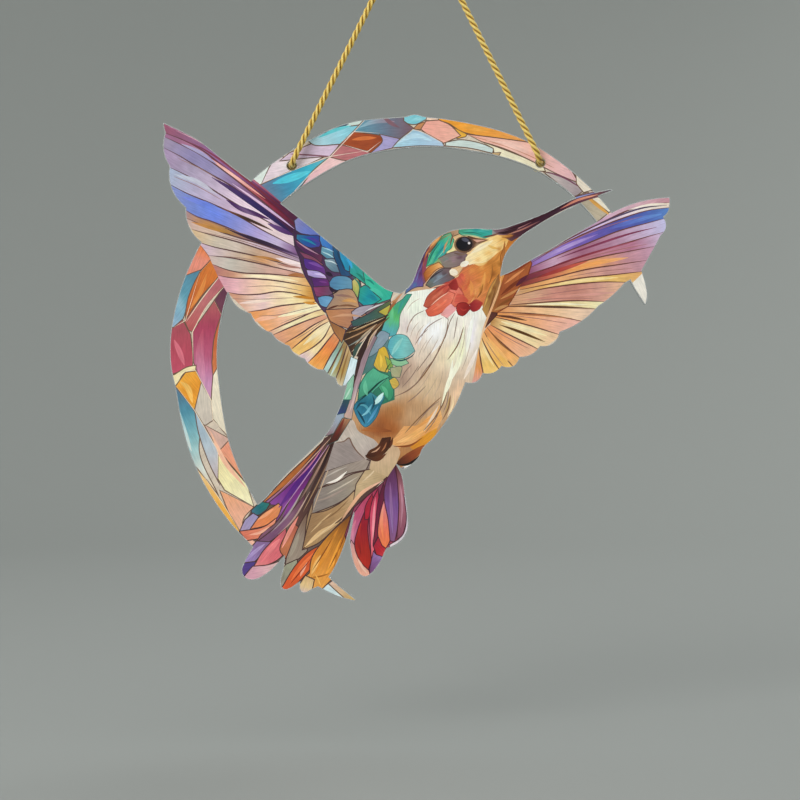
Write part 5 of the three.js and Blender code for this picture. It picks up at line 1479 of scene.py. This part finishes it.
def twisted_mesh(name, line, cord):
    """A cord of twisted strands along the line, coloured by how far its surface stands out: painted shade
    in the grooves and a painted highlight on the crests.
    """
    line = even_steps(line, STRAND_STEP)
    side, up = carried_frame(line)
    travelled = np.arange(len(line)) * np.linalg.norm(line[1] - line[0])
    sides = STRAND_SIDES
    helix = (cord.diameter - cord.strand) / 2
    places = []
    faces = []
    uvs = []
    for number in range(cord.strands):
        turn = 2 * math.pi * (number / cord.strands - travelled / cord.pitch)
        strand = line + helix * (np.cos(turn)[:, None] * side + np.sin(turn)[:, None] * up)
        strand_side, strand_up = carried_frame(strand)
        first = sum(len(part) for part in places)
        angles = np.arange(sides) * 2 * math.pi / sides
        ring = (np.cos(angles)[None, :, None] * strand_side[:, None]
                + np.sin(angles)[None, :, None] * strand_up[:, None]) * cord.strand / 2
        places.append((strand[:, None] + ring).reshape(-1, 3))
        for i in range(len(line) - 1):
            for j in range(sides):
                k = (j + 1) % sides
                a = first + i * sides
                b = a + sides
                faces.append((a + j, a + k, b + k, b + j))
                near = travelled[i] / MILLIMETRE
                far = travelled[i + 1] / MILLIMETRE
                low = j / sides
                high = (j + 1) / sides
                uvs.extend(((near, low), (near, high), (far, high), (far, low)))
        last = first + (len(line) - 1) * sides
        faces.append(tuple(first + j for j in reversed(range(sides))))
        faces.append(tuple(last + j for j in range(sides)))
        uvs.extend([(0.0, 0.0)] * (2 * sides))
    places = np.vstack(places)
    mesh = bpy.data.meshes.new(name)
    mesh.from_pydata(places.tolist(), [], faces)
    mesh.uv_layers.new(name="Strand").data.foreach_set("uv", np.array(uvs, np.float32).ravel())
    # How far each point stands out, which the material turns into painted shade in the grooves and a
    # painted highlight on the crests
    rows = np.tile(np.repeat(np.arange(len(line)), sides), cord.strands)
    out = np.linalg.norm(places - line[rows], axis=1) / (cord.diameter / 2)
    attribute = mesh.attributes.new("DepthShade", "FLOAT", "POINT")
    attribute.data.foreach_set("value", out.astype(np.float32))
    mesh.polygons.foreach_set("use_smooth", np.ones(len(mesh.polygons), bool))
    return mesh


def knot_line(hole):
    """A barrel knot's line behind the plate: out of the hole, round itself, and on as the tail."""
    x, _, z = hole
    start = PLATE_BACK / MILLIMETRE + KNOT_CLEARANCE
    made = [(x, start, z)]
    for share in np.linspace(0, 1, KNOT_STEPS + 1):
        angle = 2 * math.pi * KNOT_TURNS * share
        radius = KNOT_RADIUS * min(1, KNOT_WIDENING * min(share, 1 - share) + KNOT_ENTRY)
        y = start + KNOT_START + (KNOT_END - KNOT_START) * share
        made.append((x + radius * math.cos(angle), y, z + radius * math.sin(angle)))
    made.append((x, start + KNOT_TAIL_START, z))
    made.append((x, start + KNOT_TAIL_END, z))
    return curve_through(np.array(made) * MILLIMETRE, KNOT_CURVE_STEP * MILLIMETRE)


# Materials

def new_material(name):
    """A new node material, its nodes and links, and its surface shader."""
    material = bpy.data.materials.new(name)
    material.use_nodes = True
    tree = material.node_tree
    shader = next(node for node in tree.nodes if node.type == "BSDF_PRINCIPLED")
    return material, tree, shader


def add_node(tree, kind, values=None, **props):
    """A node of the kind, with its properties and unlinked inputs set."""
    node = tree.nodes.new(kind)
    for name, value in props.items():
        setattr(node, name, value)
    for name, value in (values or {}).items():
        node.inputs[name].default_value = value
    return node


def tone_node(tree, tones):
    """A node that turns a noise into a factor of the colour, between the two tones."""
    darkest, palest = tones
    return add_node(tree, "ShaderNodeMapRange",
                    {"From Min": NOISE_LOW, "From Max": NOISE_HIGH, "To Min": darkest, "To Max": palest})


def acrylic_material(plate):
    """Clear cast acrylic with fine polishing marks."""
    material, tree, shader = new_material("clear_acrylic")
    shader.inputs["Base Color"].default_value = plate.tint
    shader.inputs["Roughness"].default_value = plate.roughness
    shader.inputs["IOR"].default_value = ACRYLIC_IOR
    shader.inputs["Transmission Weight"].default_value = ACRYLIC_CLEARNESS
    place = add_node(tree, "ShaderNodeTexCoord")
    noise = add_node(tree, "ShaderNodeTexNoise", POLISH_NOISE)
    bump = add_node(tree, "ShaderNodeBump", POLISH_BUMP)
    tree.links.new(place.outputs["Object"], noise.inputs["Vector"])
    tree.links.new(noise.outputs["Fac"], bump.inputs["Height"])
    tree.links.new(bump.outputs["Normal"], shader.inputs["Normal"])
    return material


def ink_material(ink):
    """Glossy ink: the drawing's colours, fine streaks along each feather and a soft mottle."""
    material, tree, shader = new_material("printed_ink")
    shader.inputs["Roughness"].default_value = ink.roughness
    shader.inputs["Coat Weight"].default_value = INK_COAT
    shader.inputs["Specular IOR Level"].default_value = INK_SPECULAR
    shader.inputs["Coat Roughness"].default_value = INK_COAT_ROUGHNESS
    colour = add_node(tree, "ShaderNodeAttribute", attribute_name="Ink")
    feathers = add_node(tree, "ShaderNodeUVMap", uv_map="Feathers")
    stretch = add_node(tree, "ShaderNodeMapping", {"Scale": STREAK_STRETCH})
    streaks = add_node(tree, "ShaderNodeTexNoise", STREAK_NOISE)
    place = add_node(tree, "ShaderNodeTexCoord")
    mottle = add_node(tree, "ShaderNodeTexNoise", MOTTLE_NOISE)
    streak_range = tone_node(tree, STREAK_TONES)
    mottle_range = tone_node(tree, MOTTLE_TONES)
    both = add_node(tree, "ShaderNodeMath", operation="MULTIPLY")
    shade = add_node(tree, "ShaderNodeVectorMath", operation="SCALE")
    bump = add_node(tree, "ShaderNodeBump", INK_BUMP)
    links = tree.links
    links.new(feathers.outputs["UV"], stretch.inputs["Vector"])
    links.new(stretch.outputs["Vector"], streaks.inputs["Vector"])
    links.new(place.outputs["Object"], mottle.inputs["Vector"])
    links.new(streaks.outputs["Fac"], streak_range.inputs["Value"])
    links.new(mottle.outputs["Fac"], mottle_range.inputs["Value"])
    links.new(streak_range.outputs["Result"], both.inputs[0])
    links.new(mottle_range.outputs["Result"], both.inputs[1])
    links.new(colour.outputs["Color"], shade.inputs[0])
    links.new(both.outputs["Value"], shade.inputs["Scale"])
    links.new(shade.outputs["Vector"], shader.inputs["Base Color"])
    links.new(streaks.outputs["Fac"], bump.inputs["Height"])
    links.new(bump.outputs["Normal"], shader.inputs["Normal"])
    return material


def cord_material(cord):
    """Shiny gold yarn: a painted highlight on the pale crests, ochre flanks, painted shade in the brown
    grooves, and fine filaments.
    """
    material, tree, shader = new_material("gold_cord")
    shader.inputs["Roughness"].default_value = CORD_ROUGHNESS
    shader.inputs["Sheen Weight"].default_value = CORD_SHEEN
    shader.inputs["Sheen Roughness"].default_value = CORD_SHEEN_ROUGHNESS
    # Painted shade and highlight: the strands darken into the grooves and lighten on the crests, by how far
    # they stand out
    depth_shade = add_node(tree, "ShaderNodeAttribute", attribute_name="DepthShade")
    tones = add_node(tree, "ShaderNodeValToRGB")
    ramp = tones.color_ramp
    ramp.elements[0].position = GROOVE_SHADE_AT
    ramp.elements[0].color = cord.groove_shade
    ramp.elements[1].position = CREST_HIGHLIGHT_AT
    ramp.elements[1].color = cord.crest_highlight
    ramp.elements.new(FLANK_AT).color = cord.flank
    strand = add_node(tree, "ShaderNodeUVMap", uv_map="Strand")
    stretch = add_node(tree, "ShaderNodeMapping", FIBRE_PLACE)
    fibres = add_node(tree, "ShaderNodeTexNoise", FIBRE_NOISE)
    fibre_range = tone_node(tree, FIBRE_TONES)
    shade = add_node(tree, "ShaderNodeVectorMath", operation="SCALE")
    bump = add_node(tree, "ShaderNodeBump", FIBRE_BUMP)
    links = tree.links
    links.new(depth_shade.outputs["Fac"], tones.inputs["Fac"])
    links.new(strand.outputs["UV"], stretch.inputs["Vector"])
    links.new(stretch.outputs["Vector"], fibres.inputs["Vector"])
    links.new(fibres.outputs["Fac"], fibre_range.inputs["Value"])
    links.new(tones.outputs["Color"], shade.inputs[0])
    links.new(fibre_range.outputs["Result"], shade.inputs["Scale"])
    links.new(shade.outputs["Vector"], shader.inputs["Base Color"])
    links.new(fibres.outputs["Fac"], bump.inputs["Height"])
    links.new(bump.outputs["Normal"], shader.inputs["Normal"])
    return material


def paper_material(stage):
    """Matt grey paper for the studio."""
    material, _, shader = new_material("grey_paper")
    shader.inputs["Roughness"].default_value = PAPER_ROUGHNESS
    shader.inputs["Base Color"].default_value = stage.paper
    return material


def place_piece(name, mesh, material):
    """An object for the mesh, with its material, in the scene."""
    piece = bpy.data.objects.new(name, mesh)
    bpy.context.scene.collection.objects.link(piece)
    mesh.materials.clear()
    mesh.materials.append(material)
    return piece


# Operators

class SUNCATCHER_OT_camera(bpy.types.Operator):
    """Add the camera, square to the plate"""

    bl_idname = "suncatcher.camera"
    bl_label = "Camera"

    def execute(self, context):
        stage = settings(context).stage
        bpy.ops.object.camera_add(
            location=(PICTURE_X, PLATE_FRONT - stage.distance, PICTURE_Z), rotation=(math.pi / 2, 0, 0))
        camera = context.object
        camera.name = "photo_camera"
        camera.data.sensor_width = SENSOR_WIDTH
        camera.data.lens = stage.lens
        camera.data.clip_start = CLIP_START
        context.scene.camera = camera
        return {"FINISHED"}


class SUNCATCHER_OT_cord(bpy.types.Operator):
    """Twist the cord and its two knots"""

    bl_idname = "suncatcher.cord"
    bl_label = "Cord and knots"

    def execute(self, context):
        cord = settings(context).cord
        material = cord_material(cord)
        for side, hole in (("left", CORD_ROUTE[0]), ("right", CORD_ROUTE[-1])):
            name = "twisted_knot_" + side
            mesh = twisted_mesh(name, knot_line(hole), cord)
            knot = place_piece(name, mesh, material)
            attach(knot, "root")
            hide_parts("cord_knot_" + side)
        route = curve_through(np.array(CORD_ROUTE) * MILLIMETRE, MILLIMETRE)
        piece = place_piece("twisted_cord", twisted_mesh("twisted_cord", route, cord), material)
        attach(piece, "root")
        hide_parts("hanging_cord")
        return {"FINISHED"}


class SUNCATCHER_OT_plate(bpy.types.Operator):
    """Give the cut plate its clear acrylic"""

    bl_idname = "suncatcher.plate"
    bl_label = "Clear plate"

    def execute(self, context):
        material = acrylic_material(settings(context).plate)
        for place in PLATE.material_slots:
            place.material = material
        return {"FINISHED"}


class SUNCATCHER_OT_print(bpy.types.Operator):
    """Draw the print and lay it on the plate"""

    bl_idname = "suncatcher.print"
    bl_label = "Print"

    def execute(self, context):
        ink = settings(context).ink
        mesh = film_mesh(make_drawing(), ink)
        piece = place_piece("suncatcher_print", mesh, ink_material(ink))
        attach(piece, "root")
        return {"FINISHED"}


class SUNCATCHER_OT_stage(bpy.types.Operator):
    """Add the plain studio and its soft lights"""

    bl_idname = "suncatcher.stage"
    bl_label = "Stage"

    def execute(self, context):
        stage = settings(context).stage
        self.add_bowl(stage)
        for name, place, size, power in LIGHTS:
            self.add_light(context, name, place, size, power)
        world = bpy.data.worlds.new("soft_sky")
        world.use_nodes = True
        background = world.node_tree.nodes["Background"]
        background.inputs["Color"].default_value = SKY_COLOUR
        background.inputs["Strength"].default_value = SKY_STRENGTH
        context.scene.world = world
        context.scene.view_settings.view_transform = "Standard"
        return {"FINISHED"}

    def add_bowl(self, stage):
        """A floor that rises into a round wall."""
        floor = stage.wall_radius * FLOOR_SHARE
        bend = stage.wall_radius * BEND_SHARE
        profile = [(0.0, 0.0), (floor, 0.0)]
        for angle in np.linspace(0, math.pi / 2, BEND_STEPS + 1)[1:]:
            profile.append((floor + bend * math.sin(angle), bend * (1 - math.cos(angle))))
        profile.append((stage.wall_radius, stage.wall_radius))
        mesh = bpy.data.meshes.new("studio_bowl")
        around = BOWL_SIDES
        places = [(0, 0, stage.floor_height)]
        for radius, height in profile[1:]:
            for i in range(around):
                angle = 2 * math.pi * i / around
                x = radius * math.cos(angle)
                y = radius * math.sin(angle)
                places.append((x, y, height + stage.floor_height))
        faces = [(0, 1 + i, 1 + (i + 1) % around) for i in range(around)]
        for ring in range(len(profile) - 2):
            for i in range(around):
                a = 1 + ring * around
                b = a + around
                j = (i + 1) % around
                faces.append((a + i, b + i, b + j, a + j))
        mesh.from_pydata(places, [], faces)
        mesh.polygons.foreach_set("use_smooth", np.ones(len(mesh.polygons), bool))
        place_piece("studio_bowl", mesh, paper_material(stage))

    def add_light(self, context, name, place, size, power):
        """A square soft light aimed at the plate's middle."""
        aim = Vector((0, PLATE_FRONT, MOON_Z)) - Vector(place)
        turn = aim.to_track_quat("-Z", "Y").to_euler()
        bpy.ops.object.light_add(type="AREA", location=place, rotation=turn)
        light = context.object
        light.name = name
        light.data.size = size
        light.data.energy = power


class SUNCATCHER_PT_panel(bpy.types.Panel):
    """The suncatcher's settings and steps"""

    bl_idname = "SUNCATCHER_PT_panel"
    bl_label = "Suncatcher"
    bl_space_type = "VIEW_3D"
    bl_region_type = "UI"
    bl_category = "Suncatcher"

    def draw(self, context):
        layout = self.layout
        groups = settings(context)
        for group in (groups.plate, groups.ink, groups.cord, groups.stage):
            box = layout.box()
            for name in group.__annotations__:
                box.prop(group, name)
        for operator in OPERATORS:
            layout.operator(operator.bl_idname)


OPERATORS = (SUNCATCHER_OT_camera, SUNCATCHER_OT_cord, SUNCATCHER_OT_plate, SUNCATCHER_OT_print,
             SUNCATCHER_OT_stage)
CLASSES = (PlateSettings, PrintSettings, CordSettings, StageSettings, SuncatcherSettings, *OPERATORS,
           SUNCATCHER_PT_panel)


def register():
    for cls in CLASSES:
        bpy.utils.register_class(cls)
    bpy.types.Scene.suncatcher = bpy.props.PointerProperty(
        type=SuncatcherSettings, name="Suncatcher", description="All settings of the suncatcher")


def unregister():
    del bpy.types.Scene.suncatcher
    for cls in reversed(CLASSES):
        bpy.utils.unregister_class(cls)


def main():
    """Builds every piece in order."""
    register()
    bpy.ops.suncatcher.camera()
    bpy.ops.suncatcher.cord()
    bpy.ops.suncatcher.plate()
    bpy.ops.suncatcher.print()
    bpy.ops.suncatcher.stage()


if __name__ == "__main__":
    main()
